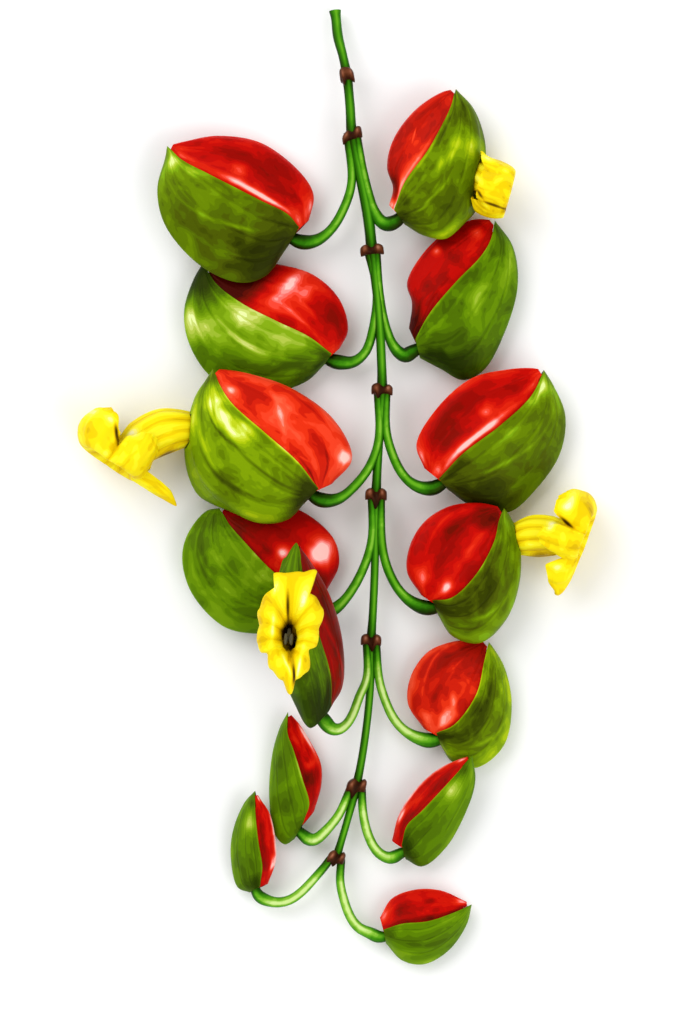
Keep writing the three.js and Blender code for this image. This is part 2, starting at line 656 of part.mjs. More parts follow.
// Both faces of a thin sheet round a grid of points that wraps, half its thickness to either side.
function facesOf(grid, thickness) {
  const rows = grid.length;
  const columns = grid[0].length;
  const normals = grid.map((row, i) =>
    row.map((_, j) => {
      const down = grid[Math.min(i + 1, rows - 1)][j].clone().sub(grid[Math.max(i - 1, 0)][j]);
      const round = row[(j + 1) % columns].clone().sub(row[(j + columns - 1) % columns]);
      return round.cross(down).normalize();
    }),
  );
  return [0.5, -0.5].map((share) =>
    grid.map((row, i) =>
      row.map((point, j) => point.clone().addScaledVector(normals[i][j], share * thickness)),
    ),
  );
}

// A flower's whole rim in the order of its turns. Its other side mirrors the first if they are alike.
function wholeRim(flower) {
  const turned = (degree) => ((degree % 360) + 360) % 360;
  const rim = flower.rim.map(([turn, ...rest]) => [turned(turn), ...rest]);
  if (flower.alike) {
    const other = rim.map(([turn, ...rest]) => [turned(180 - turn), ...rest]);
    rim.push(...other.filter(([turn]) => !rim.some((step) => Math.abs(step[0] - turn) < 1)));
  }
  return rim.sort((a, b) => a[0] - b[0]);
}

// The reach, back and curl of the rim at this turn round the mouth, smooth from step to step.
function rimAt(rim, turn) {
  const degree = THREE.MathUtils.radToDeg(turn);
  const after = rim.findIndex((step) => step[0] > degree);
  const high = after < 0 ? 0 : after;
  const low = (high + rim.length - 1) % rim.length;
  const gap = (rim[high][0] - rim[low][0] + 360) % 360;
  const share = smoothstep((degree - rim[low][0] + 360) % 360, 0, gap);
  return [1, 2, 3].map((k) => lerp(rim[low][k], rim[high][k], share));
}

// A corolla: one thin sheet from the foot of the ribbed tube through the mouth and back along its lobes.
function corollaGeometry(flower) {
  const facing = new THREE.Vector3(...flower.facing).normalize();
  const up = hoodward(flower);
  const right = up.clone().cross(facing);
  const face = at(flower.face.px, flower.face.z);
  const turns = Array.from({ length: COROLLA_COLUMNS }, (_, j) => (2 * Math.PI * j) / COROLLA_COLUMNS);
  const rings = tubeRings(flower, TUBE_ROWS, 0);
  const grid = rings.map(({ centre, ahead, radius }, i) => {
    const over = up.clone().addScaledVector(ahead, -up.dot(ahead)).normalize();
    const across = over.clone().cross(ahead);
    const swell = Math.sin((Math.PI * i) / TUBE_ROWS);
    const [wide, high] = flower.mouth.map((full) => lerp(1, full, (i / (TUBE_ROWS - 1)) ** 2));
    return turns.map((turn, j) => {
      const bore = radius + (j % 2 ? -TUBE_RIB : TUBE_RIB) * swell;
      const point = centre.clone().addScaledVector(across, wide * bore * Math.cos(turn));
      return point.addScaledVector(over, high * bore * Math.sin(turn));
    });
  });
  const throat = rings[rings.length - 1].radius;
  const rim = wholeRim(flower);
  LIMB.forEach((step, row) => {
    grid.push(
      turns.map((turn) => {
        const [reach, back, curl] = rimAt(rim, turn);
        const wave = flower.crumple * Math.sin(RIM_WAVES * turn + 2.1 * row) * step.back;
        const far = reach - curl * step.curl + wave;
        const [wide, high] = flower.mouth.map((full) => lerp(full * throat, far, step.out));
        return face
          .clone()
          .addScaledVector(right, wide * Math.cos(turn))
          .addScaledVector(up, high * Math.sin(turn))
          .addScaledVector(facing, -back * step.back);
      }),
    );
  });
  return sheetGeometry(...facesOf(grid, PETAL), true);
}

// The anther pair: two beads on a thread that follows the wall of the tube on the hood's side.
function antherSolid(flower) {
  const facing = new THREE.Vector3(...flower.facing).normalize();
  const up = hoodward(flower);
  const right = up.clone().cross(facing);
  const heart = at(ANTHERS.px, ANTHERS.z);
  const rings = tubeRings(flower, TUBE_ROWS, 0).slice(0, -1).map(({ centre, ahead, radius }) => {
    const over = up.clone().addScaledVector(ahead, -up.dot(ahead)).normalize();
    const aside = radius - PETAL / 2 - TUBE_RIB - CLEARANCE - THREAD_RADIUS;
    return { centre: centre.clone().addScaledVector(over, aside), ahead, radius: THREAD_RADIUS };
  });
  rings.push({ centre: heart, ahead: facing, radius: THREAD_RADIUS });
  const thread = solidOf(taperedTube(rings, STALK_SIDES, up));
  return [-1, 1].reduce((whole, side) => {
    const middle = heart.clone().addScaledVector(right, side * ANTHERS.apart);
    const bead = new THREE.SphereGeometry(1, ...BEAD_SEGMENTS).scale(...ANTHERS.size);
    const basis = new THREE.Matrix4().makeBasis(right, up, facing).setPosition(middle);
    return whole.add(solidOf(bead.applyMatrix4(basis)));
  }, thread);
}

// The middle of a pod's foot, where its stalk goes in, and the way in, square to the foot's edge.
function podFoot(pod) {
  const frame = { ...podFrame(pod), flatBase: at(pod.base) };
  const middle = at(pod.base).lerp(at(pod.green[0]), 0.5);
  const centre = placed(frame, middle, 0);
  const inward = placed(frame, middle.clone().add(frame.flatAxis), 0).sub(centre);
  const edge = placed(frame, at(pod.green[0]), 0).sub(centre).normalize();
  return { centre, axis: inward.addScaledVector(edge, -inward.dot(edge)).normalize() };
}

function stemRoute() {
  return through(STEM_PATH.map((step) => at(step.px, step.z)));
}

// The rings of the main stem, made wider by extra.
function stemRings(extra) {
  const route = stemRoute();
  const radii = STEM_PATH.map((step) => step.radius);
  const count = Math.round(STEM_PATH.length * STEM_RINGS_PER_STEP);
  return Array.from({ length: count }, (_, i) => {
    const t = i / (count - 1);
    return { centre: route.getPoint(t), ahead: route.getTangent(t), radius: along(radii, t) + extra };
  });
}

// The nearest place on the stem to a node: its centre and the stem's direction there.
function nodeOnStem(px) {
  const wanted = at(px);
  const route = stemRoute();
  const places = Array.from({ length: STEM_SEARCH + 1 }, (_, i) => {
    const centre = route.getPoint(i / STEM_SEARCH);
    const away = Math.hypot(centre.x - wanted.x, centre.y - wanted.y);
    return { centre, ahead: route.getTangent(i / STEM_SEARCH), away };
  });
  return places.reduce((a, b) => (b.away < a.away ? b : a));
}

// The rings of one flower stalk, from beside its node to inside its pod, made wider by extra.
function stalkRings(pod, extra) {
  const { node, side, px } = pod.stalk;
  const root = nodeOnStem(NODE_SCALES[node].px);
  const foot = podFoot(pod);
  const start = root.centre.clone().addScaledVector(root.ahead, -STALK_ROOT.before);
  start.x += side * STALK_ROOT.aside;
  start.z += STALK_ROOT.above;
  const middle = px.map((point, i) => {
    const share = (i + 1) / (px.length + 1);
    return at(point, lerp(start.z, foot.centre.z, smoothstep(share, 0, 1)));
  });
  const before = foot.centre.clone().addScaledVector(foot.axis, -STALK_SHOULDER);
  const end = foot.centre.clone().addScaledVector(foot.axis, NECK_LENGTH);
  const route = through([start, ...middle, before, end]);
  const length = route.getLength();
  const neck = NECK_LENGTH + CLEARANCE;
  const marks = [
    { left: 0, radius: NECK_RADIUS },
    { left: neck, radius: NECK_RADIUS },
    { left: neck + SWELLING.shoulder, radius: 0.95 * pod.swollen },
    { left: neck + SWELLING.thickest, radius: pod.swollen },
    { left: neck + SWELLING.waning, radius: 0.84 * pod.swollen },
    { left: neck + SWELLING.end, radius: 1.18 * PEDICEL_RADIUS },
  ];
  const plain = length - neck - SWELLING.end;
  const rings = [];
  for (let i = 0; i < STALK_STEPS; i += 1) {
    const radius = i === 0 ? STALK_ROOT.radius : PEDICEL_RADIUS * lerp(0.95, 1.1, i / STALK_STEPS);
    rings.push({ u: (i / STALK_STEPS) * (plain / length), radius });
  }
  for (const { left, radius } of marks.reverse()) rings.push({ u: 1 - left / length, radius });
  return rings.map(({ u, radius }) => ({
    centre: route.getPointAt(u),
    ahead: route.getTangentAt(u),
    radius: radius + extra,
  }));
}

// The stem and its stalks, as one solid made wider by extra.
function stemSolid(extra) {
  const tubeOf = (rings, sides) => {
    const routed = extra > 0 ? lengthened(rings, extra) : rings;
    return solidOf(taperedTube(routed, sides));
  };
  const stem = tubeOf(stemRings(extra), STEM_SIDES);
  return PODS.reduce((whole, pod) => whole.add(tubeOf(stalkRings(pod, extra), STALK_SIDES)), stem);
}

// One brown scale collar: a bead parted by a notch into two scales, with room cut out for stem and stalks.
function nodeScale(scale, room) {
  const { centre, ahead } = nodeOnStem(scale.px);
  const across = ahead.clone().cross(UP).normalize();
  const basis = new THREE.Matrix4().makeBasis(across, ahead, across.clone().cross(ahead)).setPosition(centre);
  const bead = new THREE.SphereGeometry(1, ...BEAD_SEGMENTS);
  const place = bead.attributes.position;
  for (let i = 0; i < place.count; i += 1) {
    const [x, y, z] = [place.getX(i), place.getY(i), place.getZ(i)];
    const notch = Math.exp(-((x / NOTCH_WIDTH) ** 2));
    const shorter = 1 - NODE_NOTCH * notch * (y < 0 ? 1 : 0.2);
    const fuller = 1 / Math.sqrt(Math.max(Math.hypot(x, z), 0.1));
    const [wide, deep] = [scale.width * fuller, NODE_DEPTH * fuller * (1 - 0.12 * notch)];
    place.setXYZ(i, x * wide, y * scale.height * shorter, z * deep);
  }
  return geometryOf(solidOf(bead.applyMatrix4(basis)).subtract(room));
}

const spray = new THREE.Group();
spray.name = "clock_vine";
spray.add(meshOf("stem", geometryOf(stemSolid(0)), "stem"));

const stemRoom = stemSolid(STEM_ROOM);
const footRoom = stemSolid(FOOT_ROOM);
NODE_SCALES.forEach((scale, i) => {
  spray.add(meshOf(`node_scale_${i + 1}`, nodeScale(scale, stemRoom), "scale"));
});

for (const pod of PODS) {
  const flower = COROLLAS.find((corolla) => corolla.pod === pod.name);
  let green = solidOf(bractGeometry(pod, "green")).subtract(footRoom);
  if (flower) {
    const rings = lengthened(tubeRings(flower, OPENING_RINGS, OPENING_ROOM), OPENING_DEPTH);
    green = green.subtract(solidOf(taperedTube(rings, OPENING_SIDES, hoodward(flower))));
    spray.add(meshOf(`corolla_${pod.name}`, corollaGeometry(flower), "corolla"));
    if (ANTHERS.pod === pod.name) {
      spray.add(meshOf(`anthers_${pod.name}`, geometryOf(antherSolid(flower)), "anther"));
    }
  }
  const red = solidOf(bractGeometry(pod, "red")).subtract(footRoom);
  spray.add(meshOf(`green_bract_${pod.name}`, geometryOf(green), "green"));
  spray.add(meshOf(`red_bract_${pod.name}`, geometryOf(red), "red"));
}

// The origin goes to the middle of the underside.
const box = new THREE.Box3().setFromObject(spray);
spray.position.set(-(box.min.x + box.max.x) / 2, -(box.min.y + box.max.y) / 2, -box.min.z);

export default spray;
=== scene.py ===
"""Clock vine: the looks of one cut hanging spray, laid flat and seen from straight above.

The part's solids are the frame. Each one is replaced by a finer piece of the same form: bracts with veins and
rims, ribbed corollas with frilled lobes, a stem with its stalks, and the brown collars at its nodes.
Places are read off the reference picture in pixels and worked out in millimetres; meshes are in metres.
"""

import logging
import math
from collections.abc import Callable, Sequence
from dataclasses import dataclass, field, replace
from enum import Enum

import bmesh
import bpy
import numpy as np
from bpy.types import Material, NodeSocket, NodeTree, Object
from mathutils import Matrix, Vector


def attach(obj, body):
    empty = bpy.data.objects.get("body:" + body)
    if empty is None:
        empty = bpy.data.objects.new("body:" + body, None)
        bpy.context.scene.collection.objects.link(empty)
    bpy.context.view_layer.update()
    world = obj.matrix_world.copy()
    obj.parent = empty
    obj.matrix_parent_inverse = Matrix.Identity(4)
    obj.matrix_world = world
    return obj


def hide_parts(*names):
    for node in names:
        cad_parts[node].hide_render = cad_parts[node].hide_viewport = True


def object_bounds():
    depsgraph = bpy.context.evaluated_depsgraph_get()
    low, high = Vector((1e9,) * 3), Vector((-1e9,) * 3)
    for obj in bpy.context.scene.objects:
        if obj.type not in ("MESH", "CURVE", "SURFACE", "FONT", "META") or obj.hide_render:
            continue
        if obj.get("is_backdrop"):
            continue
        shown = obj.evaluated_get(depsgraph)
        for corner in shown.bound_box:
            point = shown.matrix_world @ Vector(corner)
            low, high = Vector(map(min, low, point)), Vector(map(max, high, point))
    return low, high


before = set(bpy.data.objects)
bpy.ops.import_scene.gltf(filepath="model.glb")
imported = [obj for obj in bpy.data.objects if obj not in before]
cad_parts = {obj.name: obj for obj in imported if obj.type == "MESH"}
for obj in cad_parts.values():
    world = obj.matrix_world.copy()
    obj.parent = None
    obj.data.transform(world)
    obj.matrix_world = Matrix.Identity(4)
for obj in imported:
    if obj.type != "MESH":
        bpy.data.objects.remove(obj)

LOG = logging.getLogger("clock_vine")
MM = 0.001

# The reference picture, in pixels: its size and what the spray spans in it
PICTURE_WIDE, PICTURE_HIGH = 683, 1024
SPRAY_LEFT, SPRAY_RIGHT, SPRAY_TOP, SPRAY_BOTTOM = 78, 594, 9, 965
SPRAY_MIDDLE = np.array([(SPRAY_LEFT + SPRAY_RIGHT) / 2, (SPRAY_TOP + SPRAY_BOTTOM) / 2])
SPRAY_LENGTH = 230.0
SCALE = SPRAY_LENGTH / (SPRAY_BOTTOM - SPRAY_TOP)  # millimetres to a pixel
CENTRING = np.array([-0.0559, -0.0059, 0.0])  # the part's origin is at the middle of its own box

# The blades and how they fit together, in millimetres
GREEN_WALL = 0.55
RED_WALL = 0.5
PETAL_WALL = 0.42
SOLID_WALL = 0.85  # thickness of the solid that a bract stands for
SOLID_SEAM = 0.58  # and the room between the green and the red solid
SEAM_ROOM = 0.12  # room between the two bracts
LIP = 0.9  # how far the green bract's edge lies over the red one
LIP_BEGINS, LIP_FULL = 1.8, 2.8  # half the pod's thickness where that lap begins and where it is whole
TUCK_BEGINS, TUCK_FULL = 1.1, 1.9  # and where the red bract begins to go inside the green one, and is in
RED_TIP_BACK = 1.2  # how far the red tip stays behind the green one
TUBE_RIB = 0.16  # how far the ribs of a corolla's tube stand out
OPENING_ROOM = 0.55  # room round the tube where it leaves its pod
OPENING_DEPTH = 1.0  # how far that opening runs on past the tube's ends

# The form of a pod. An edge is the power of the section: the larger it is, the keener the outer edge
KEEN_EDGE = 1.5
RESTING_EDGE = 0.5
THICKEST = 0.35  # how far along the pod it is thickest
FOOT_HALF = 2.9  # half the thickness at its foot in millimetres, at most
FOOT_SHARE = 0.72  # and as a share of half the full thickness

MARK_STRENGTH = 1.35  # how strongly the marks on the bracts show
CREASE = math.radians(55)  # faces that meet at a sharper angle than this keep an edge

Point = tuple[float, float]
Floats = np.ndarray
Laid = bpy.types.Node  # a shader node, not a node of the stem
Value = NodeSocket | float


def at(px: Sequence[float], z: float = 0.0) -> Floats:
    """Find where a point of the picture lies in the part.

    Args:
        px: The point's pixel coordinates, x to the right and y down.
        z: Its height in millimetres.

    Returns:
        The place in millimetres.
    """
    x, down = (np.asarray(px) - SPRAY_MIDDLE) * SCALE
    return np.array([x, -down, z]) + CENTRING


def pictured(points: Floats) -> Floats:
    """Find the picture's coordinates of places in the part, the reverse of at."""
    return SPRAY_MIDDLE + (points[..., :2] - CENTRING[:2]) / SCALE * np.array([1, -1])


def unit(vectors: Floats) -> Floats:
    """Give vectors, along the last axis, a length of one."""
    return vectors / np.maximum(np.linalg.norm(vectors, axis=-1, keepdims=True), 1e-12)


def smoothstep(value: Floats, low: float, high: float) -> Floats:
    """Rise smoothly from 0 at low to 1 at high."""
    share = np.clip((np.asarray(value, float) - low) / (high - low), 0, 1)
    return share * share * (3 - 2 * share)


def mixed(start: Floats, end: Floats, share: Floats) -> Floats:
    """Go from start to end in a straight line as share goes from 0 to 1."""
    return start + (end - start) * share


def hump(value: Floats, middle: float, width: float) -> Floats:
    """Rise to 1 at a middle and fall to nothing a few widths away."""
    return np.exp(-(((value - middle) / width) ** 2))


def inside(width: Floats, wall: float) -> Floats:
    """Find the room inside a wall for an outer half width, never less than nothing."""
    return width - wall * (1 - np.exp(-width / wall))


def powered(value: Floats, power: Floats) -> Floats:
    """Raise values to a power and keep their signs."""
    return np.sign(value) * np.abs(value) ** power


def eased(rows: Floats, t: Floats) -> Floats:
    """Read a list at t from 0 to 1 with smooth runs between its entries.

    Args:
        rows: The entries, numbers or arrays of one shape, along the first axis.
        t: Where to read, any number of values from 0 to 1.

    Returns:
        One entry for each t.
    """
    rows = np.asarray(rows, float)
    last = len(rows) - 1
    place = np.clip(t, 0, 1) * last
    low = np.minimum(place.astype(int), last - 1)
    share = (place - low).reshape(-1, *[1] * (rows.ndim - 1))
    slope = np.gradient(rows, axis=0)
    two, three = share**2, share**3
    by_place = (2 * three - 3 * two + 1) * rows[low] + (3 * two - 2 * three) * rows[low + 1]
    return by_place + (three - 2 * two + share) * slope[low] + (three - two) * slope[low + 1]


class Line:
    """A smooth line through points, the centripetal Catmull-Rom curve that the solids follow too."""

    SAMPLES = 1200
    STEP = 1e-3  # how far either side of a place its direction is taken
    CLOSE = 1e-4  # points nearer than this count as one

    def __init__(self, points: Sequence[Floats]) -> None:
        """Set the line through its points, in order."""
        self.points = np.asarray(points, float)
        self.shares = np.linspace(0, 1, self.SAMPLES)
        steps = np.linalg.norm(np.diff(self.by_share(self.shares), axis=0), axis=1)
        marks = np.concatenate([[0], np.cumsum(steps)])
        self.length = float(marks[-1])
        self.marks = marks / self.length

    def by_share(self, t: Floats) -> Floats:
        """Find places by their share of the list of points.

        Args:
            t: Shares from 0 to 1; the points themselves stand at equal shares.

        Returns:
            One place for each share.
        """
        points = self.points
        last = len(points) - 1
        place = np.clip(np.atleast_1d(t), 0, 1) * last
        low = np.minimum(place.astype(int), last - 1)
        before = np.vstack([2 * points[0] - points[1], points[:-1]])
        after = np.vstack([points[1:], 2 * points[-1] - points[-2]])
        p0, p1, p2, p3 = before[low], points[low], points[low + 1], after[low + 1]
        k0, k1, k2 = (np.linalg.norm(gap, axis=1)[:, None] ** 0.5 for gap in (p1 - p0, p2 - p1, p3 - p2))
        k1 = np.where(k1 < self.CLOSE, 1.0, k1)
        k0, k2 = np.where(k0 < self.CLOSE, k1, k0), np.where(k2 < self.CLOSE, k1, k2)
        start = ((p1 - p0) / k0 - (p2 - p0) / (k0 + k1) + (p2 - p1) / k1) * k1
        end = ((p2 - p1) / k1 - (p3 - p1) / (k1 + k2) + (p3 - p2) / k2) * k1
        f = (place - low)[:, None]
        bends = (3 * (p2 - p1) - 2 * start - end) * f**2 + (2 * (p1 - p2) + start + end) * f**3
        return p1 + start * f + bends

    def by_length(self, u: Floats) -> Floats:
        """Find places by their share of the line's length."""
        return self.by_share(np.interp(np.atleast_1d(u), self.marks, self.shares))

    def ahead(self, u: Floats) -> Floats:
        """Find the direction of the line at shares of its length."""
        return self.direction(self.by_length, u)

    def ahead_by_share(self, t: Floats) -> Floats:
        """Find the direction of the line at shares of its list of points."""
        return self.direction(self.by_share, t)

    def direction(self, places: Callable[[Floats], Floats], t: Floats) -> Floats:
        """Find the way that the line runs, where places turns shares into places on it."""
        t = np.clip(np.atleast_1d(t), self.STEP, 1 - self.STEP)
        return unit(places(t + self.STEP) - places(t - self.STEP))


def patch(far: Floats, aside: Floats, long: float, wide: float, edge: float) -> Floats:
    """Fade from 1 at the middle of a soft patch to nothing.

    Args:
        far: How far points lie from its middle along it.
        aside: How far they lie across it.
        long: Its reach along.
        wide: Its reach across.
        edge: How soft its edge is; below 1 it is crisper.

    Returns:
        One value for each point.
    """
    away = (far / long) ** 2 + (aside / wide) ** 2
    return np.exp(-(away ** (1 / edge)))


@dataclass(frozen=True)
class Mark:
    """A soft patch of lighter or darker colour on a blade. Marks paint highlights, shade and the shadows that
    neighbouring pods cast, besides the blade's own blotches and vein lines.

    along runs from the base at 0 to the tip at 1, across from the seam at 0 to the outer edge at 1. long and
    wide are its reach each way, tone is how much lighter it is, lean turns it with the veins, and an edge
    below 1 makes it crisper.
    """

    along: float
    across: float
    long: float
    wide: float
    tone: float
    lean: float = 0.0
    edge: float = 1.0

    def at(self, along: Floats, across: Floats) -> Floats:
        """Find the mark's tone at points of a blade."""
        far = along - self.along
        aside = across - self.across - self.lean * far
        return MARK_STRENGTH * self.tone * patch(far, aside, self.long, self.wide, self.edge)


def marks(*rows: tuple[float, ...]) -> tuple[Mark, ...]:
    """Make marks, each from a row of its values in order, in hundredths."""
    return tuple(Mark(*(value / 100 for value in row)) for row in rows)


@dataclass(frozen=True)
class Spot:
    """A soft patch on a flower, in pixels of the picture: a painted highlight where its tone is above
    nothing, painted shade where it is below, such as in the throat, in the grooves and under the tube.

    It lies at x and y, reaches long one way and wide the other, and turn is how far its length turns from the
    picture's right, in degrees against the clock.
    """

    x: float
    y: float
    long: float
    wide: float
    turn: float
    tone: float
    edge: float = 1.0

    def at(self, places: Floats) -> Floats:
        """Find the spot's tone at places of the picture."""
        x, y = places[..., 0] - self.x, self.y - places[..., 1]
        turn = math.radians(self.turn)
        far = x * math.cos(turn) + y * math.sin(turn)
        aside = y * math.cos(turn) - x * math.sin(turn)
        return self.tone * patch(far, aside, self.long, self.wide, self.edge)


def spots(*rows: tuple[float, ...]) -> tuple[Spot, ...]:
    """Make spots, each from a row of its values in order."""
    return tuple(Spot(*row) for row in rows)


LEFT, RIGHT = -1, 1


@dataclass(frozen=True)
class Pod:
    """One pod of two bracts on its stalk. Places are in pixels, other sizes in millimetres.

    side is the stem's side that it hangs on and number counts down the stem; its stalk leaves the node of
    that number, from 0. seam, green and red run from the base to the tip, and stalk from the stem to the pod.
    half is half its thickness, lift the height of its base and rise that of its tip above it. swollen is the
    stalk's radius below the pod. roll, in degrees, lifts the green side, hollow dishes the red face, edge is
    the power of the section, and flare spreads the back of the green bract.
    """

    side: int
    number: int
    base: Point
    tip: Point
    seam: tuple[Point, ...]
    green: tuple[Point, ...]
    red: tuple[Point, ...]
    stalk: tuple[Point, ...]
    half: float
    lift: float
    swollen: float = 1.9
    rise: float = 0.0
    roll: float = 0.0
    hollow: float = 0.0
    edge: float = KEEN_EDGE
    flare: float = 0.0

    @property
    def name(self) -> str:
        """The end of the names of the pod's pieces, such as left_1."""
        return f"{'left' if self.side == LEFT else 'right'}_{self.number}"


@dataclass(frozen=True)
class Flower:
    """One open corolla: the route, heights and radii of its tube, its mouth, its rim and its spots, which are
    painted highlights and painted shade.

    face is the middle of its mouth, at face_height, facing the way it looks and up the way to its hood. rim
    goes round the lobes in steps of the turn in degrees from the flower's right, how far the rim goes out,
    how far it rolls back and how far its end turns in again. mouth is how much wider and higher than round
    the mouth is. A flower whose sides are alike gives one side only. crumple is how deeply the limb waves.
    """

    pod: str
    tube: tuple[Point, ...]
    heights: tuple[float, ...]
    radii: tuple[float, ...]
    face: Point
    face_height: float
    facing: tuple[float, float, float]
    up: tuple[float, float, float]
    rim: tuple[tuple[float, float, float, float], ...]
    spots: tuple[Spot, ...]
    mouth: tuple[float, float] = (1.0, 1.0)
    alike: bool = True
    crumple: float = 0.3


# The fourteen pods
PODS = (
    Pod(
        LEFT, 1, base=(299, 230), tip=(167, 146),
        seam=((288, 218), (258, 204), (205, 176), (179, 160)),
        green=((287, 248), (265, 277), (240, 284), (201, 268), (165, 227), (157, 190), (165, 158)),
        red=((309, 220), (314, 195), (303, 174), (262, 142), (218, 135), (185, 141)),
        stalk=((352, 182), (345, 206), (332, 229), (317, 241), (304, 243)),
        half=5.4, lift=6.7, roll=10, hollow=1.3,
    ),
    Pod(
        LEFT, 2, base=(332, 354), tip=(203, 262),
        seam=((311, 338), (274, 320), (240, 302), (215, 282)),
        green=(
            (325, 364), (307, 381), (275, 392), (240, 391), (209, 375), (188, 341), (184, 310), (193, 280),
        ),
        red=((340, 348), (348, 330), (340, 300), (314, 275), (278, 264), (235, 260)),
        stalk=((377, 290), (373, 330), (365, 354), (350, 364), (337, 361)),
        half=5.4, lift=4.8,
    ),
    Pod(
        LEFT, 3, base=(319, 489), tip=(213, 369),
        seam=((300, 464), (263, 431), (232, 403), (220, 385)),
        green=((306, 502), (287, 520), (254, 522), (206, 488), (190, 445), (196, 397), (206, 380)),
        red=((332, 484), (352, 459), (335, 421), (293, 389), (250, 374), (228, 370)),
        stalk=((379, 440), (369, 468), (355, 486), (338, 500), (322, 501)),
        half=5.8, lift=9.9, rise=0.3, edge=0.7, flare=0.34,
    ),
    Pod(
        LEFT, 4, base=(318, 602), tip=(219, 508),
        seam=((300, 592), (271, 571), (243, 541), (227, 521)),
        green=(
            (312, 615), (290, 631), (258, 634), (224, 627), (192, 594), (182, 560), (187, 535), (206, 511),
        ),
        red=((326, 592), (339, 565), (335, 541), (313, 518), (283, 504), (245, 502)),
        stalk=((372, 540), (361, 574), (345, 600), (334, 610), (322, 614)),
        half=5.3, lift=4.7, roll=3,
    ),
    Pod(
        LEFT, 5, base=(323, 707), tip=(296, 539),
        seam=((316, 681), (295, 630), (285, 572)),
        green=((311, 720), (300, 725), (286, 702), (271, 660), (267, 617), (274, 579), (286, 553)),
        red=((334, 706), (352, 690), (353, 640), (336, 590), (312, 556)),
        stalk=((367, 680), (360, 694), (353, 714), (344, 727), (332, 730)),
        half=5.4, lift=13.6, rise=8.4, roll=52, edge=0.7,
    ),
    Pod(
        LEFT, 6, base=(306, 826), tip=(288, 712),
        seam=((311, 806), (304, 780), (294, 749), (288, 733)),
        green=((294, 840), (285, 845), (275, 836), (269, 800), (272, 755), (280, 727)),
        red=((314, 812), (321, 787), (321, 765), (311, 743), (299, 724)),
        stalk=((345, 802), (339, 815), (326, 831), (314, 841), (306, 839)),
        half=3.7, lift=3.35, swollen=1.65, roll=-4, hollow=0.5,
    ),
    Pod(
        LEFT, 7, base=(262, 888), tip=(255, 791),
        seam=((265, 868), (261, 842), (257, 812)),
        green=((249, 893), (237, 888), (230, 860), (232, 832), (244, 803)),
        red=((268, 884), (276, 862), (276, 842), (270, 814), (261, 800)),
        stalk=((327, 864), (315, 878), (302, 892), (289, 901), (274, 903), (262, 899)),
        half=3.3, lift=4.5, swollen=1.55, roll=-12, hollow=0.4,
    ),
    Pod(
        RIGHT, 1, base=(394, 212), tip=(456, 89),
        seam=((405, 187), (430, 153), (441, 133), (452, 108)),
        green=((405, 225), (424, 236), (447, 239), (468, 217), (475, 190), (481, 140), (473, 109)),
        red=((389, 205), (393, 188), (387, 168), (393, 140), (415, 110), (442, 92)),
        stalk=((362, 166), (368, 192), (375, 213), (384, 225)),
        half=5.3, lift=7.2, roll=8, hollow=0.8, edge=0.7, flare=0.36,
    ),
    Pod(
        RIGHT, 2, base=(413, 341), tip=(495, 220),
        seam=((428, 315), (456, 282), (481, 256), (491, 239)),
        green=((420, 358), (441, 369), (463, 380), (484, 370), (505, 332), (518, 285), (513, 246)),
        red=((409, 328), (412, 303), (407, 283), (424, 252), (450, 229), (475, 219)),
        stalk=((379, 290), (385, 325), (395, 349), (407, 358)),
        half=5.1, lift=4.5,
    ),
    Pod(
        RIGHT, 3, base=(437, 478), tip=(544, 370),
        seam=((460, 452), (497, 424), (530, 394)),
        green=((447, 489), (470, 505), (509, 513), (537, 490), (561, 454), (566, 416), (554, 386)),
        red=((424, 468), (416, 444), (438, 406), (471, 378), (509, 369), (532, 368)),
        stalk=((386, 430), (393, 456), (405, 478), (420, 488), (434, 489)),
        half=5.4, lift=6.9, roll=-9, hollow=1.3,
    ),
    Pod(
        RIGHT, 4, base=(433, 600), tip=(504, 508),
        seam=((450, 598), (474, 576), (493, 543), (499, 520)),
        green=((438, 615), (452, 636), (480, 643), (506, 620), (520, 580), (519, 538), (510, 516)),
        red=((421, 595), (407, 572), (410, 545), (425, 521), (450, 506), (480, 503)),
        stalk=((382, 545), (388, 570), (400, 592), (414, 604), (427, 609)),
        half=5.7, lift=7.7, hollow=0.9, edge=0.7,
    ),
    Pod(
        RIGHT, 5, base=(436, 733), tip=(489, 642),
        seam=((453, 725), (475, 696), (484, 662)),
        green=((441, 746), (452, 762), (477, 768), (504, 746), (512, 705), (505, 668), (495, 650)),
        red=((424, 729), (408, 704), (411, 676), (428, 652), (452, 642), (475, 640)),
        stalk=((379, 680), (385, 700), (395, 721), (410, 735), (427, 741)),
        half=4.6, lift=4.1, hollow=0.6,
    ),
    Pod(
        RIGHT, 6, base=(400, 846), tip=(473, 754),
        seam=((407, 825), (423, 809), (441, 790), (461, 768)),
        green=((406, 860), (422, 867), (446, 848), (468, 808), (476, 780)),
        red=((392, 841), (399, 815), (415, 790), (438, 769), (458, 759)),
        stalk=((363, 813), (368, 835), (377, 852), (386, 858), (394, 859)),
        half=3.9, lift=3.9, swollen=1.6, rise=4.1, hollow=0.4,
    ),
    Pod(
        RIGHT, 7, base=(383, 930), tip=(472, 905),
        seam=((401, 924), (429, 921), (456, 912)),
        green=((386, 944), (402, 961), (424, 965), (449, 951), (467, 925)),
        red=((380, 918), (392, 899), (416, 890), (441, 891), (462, 900)),
        stalk=((340, 882), (343, 897), (350, 917), (359, 929), (374, 935)),
        half=3.9, lift=3.45, swollen=1.6, hollow=0.4,
    ),
)
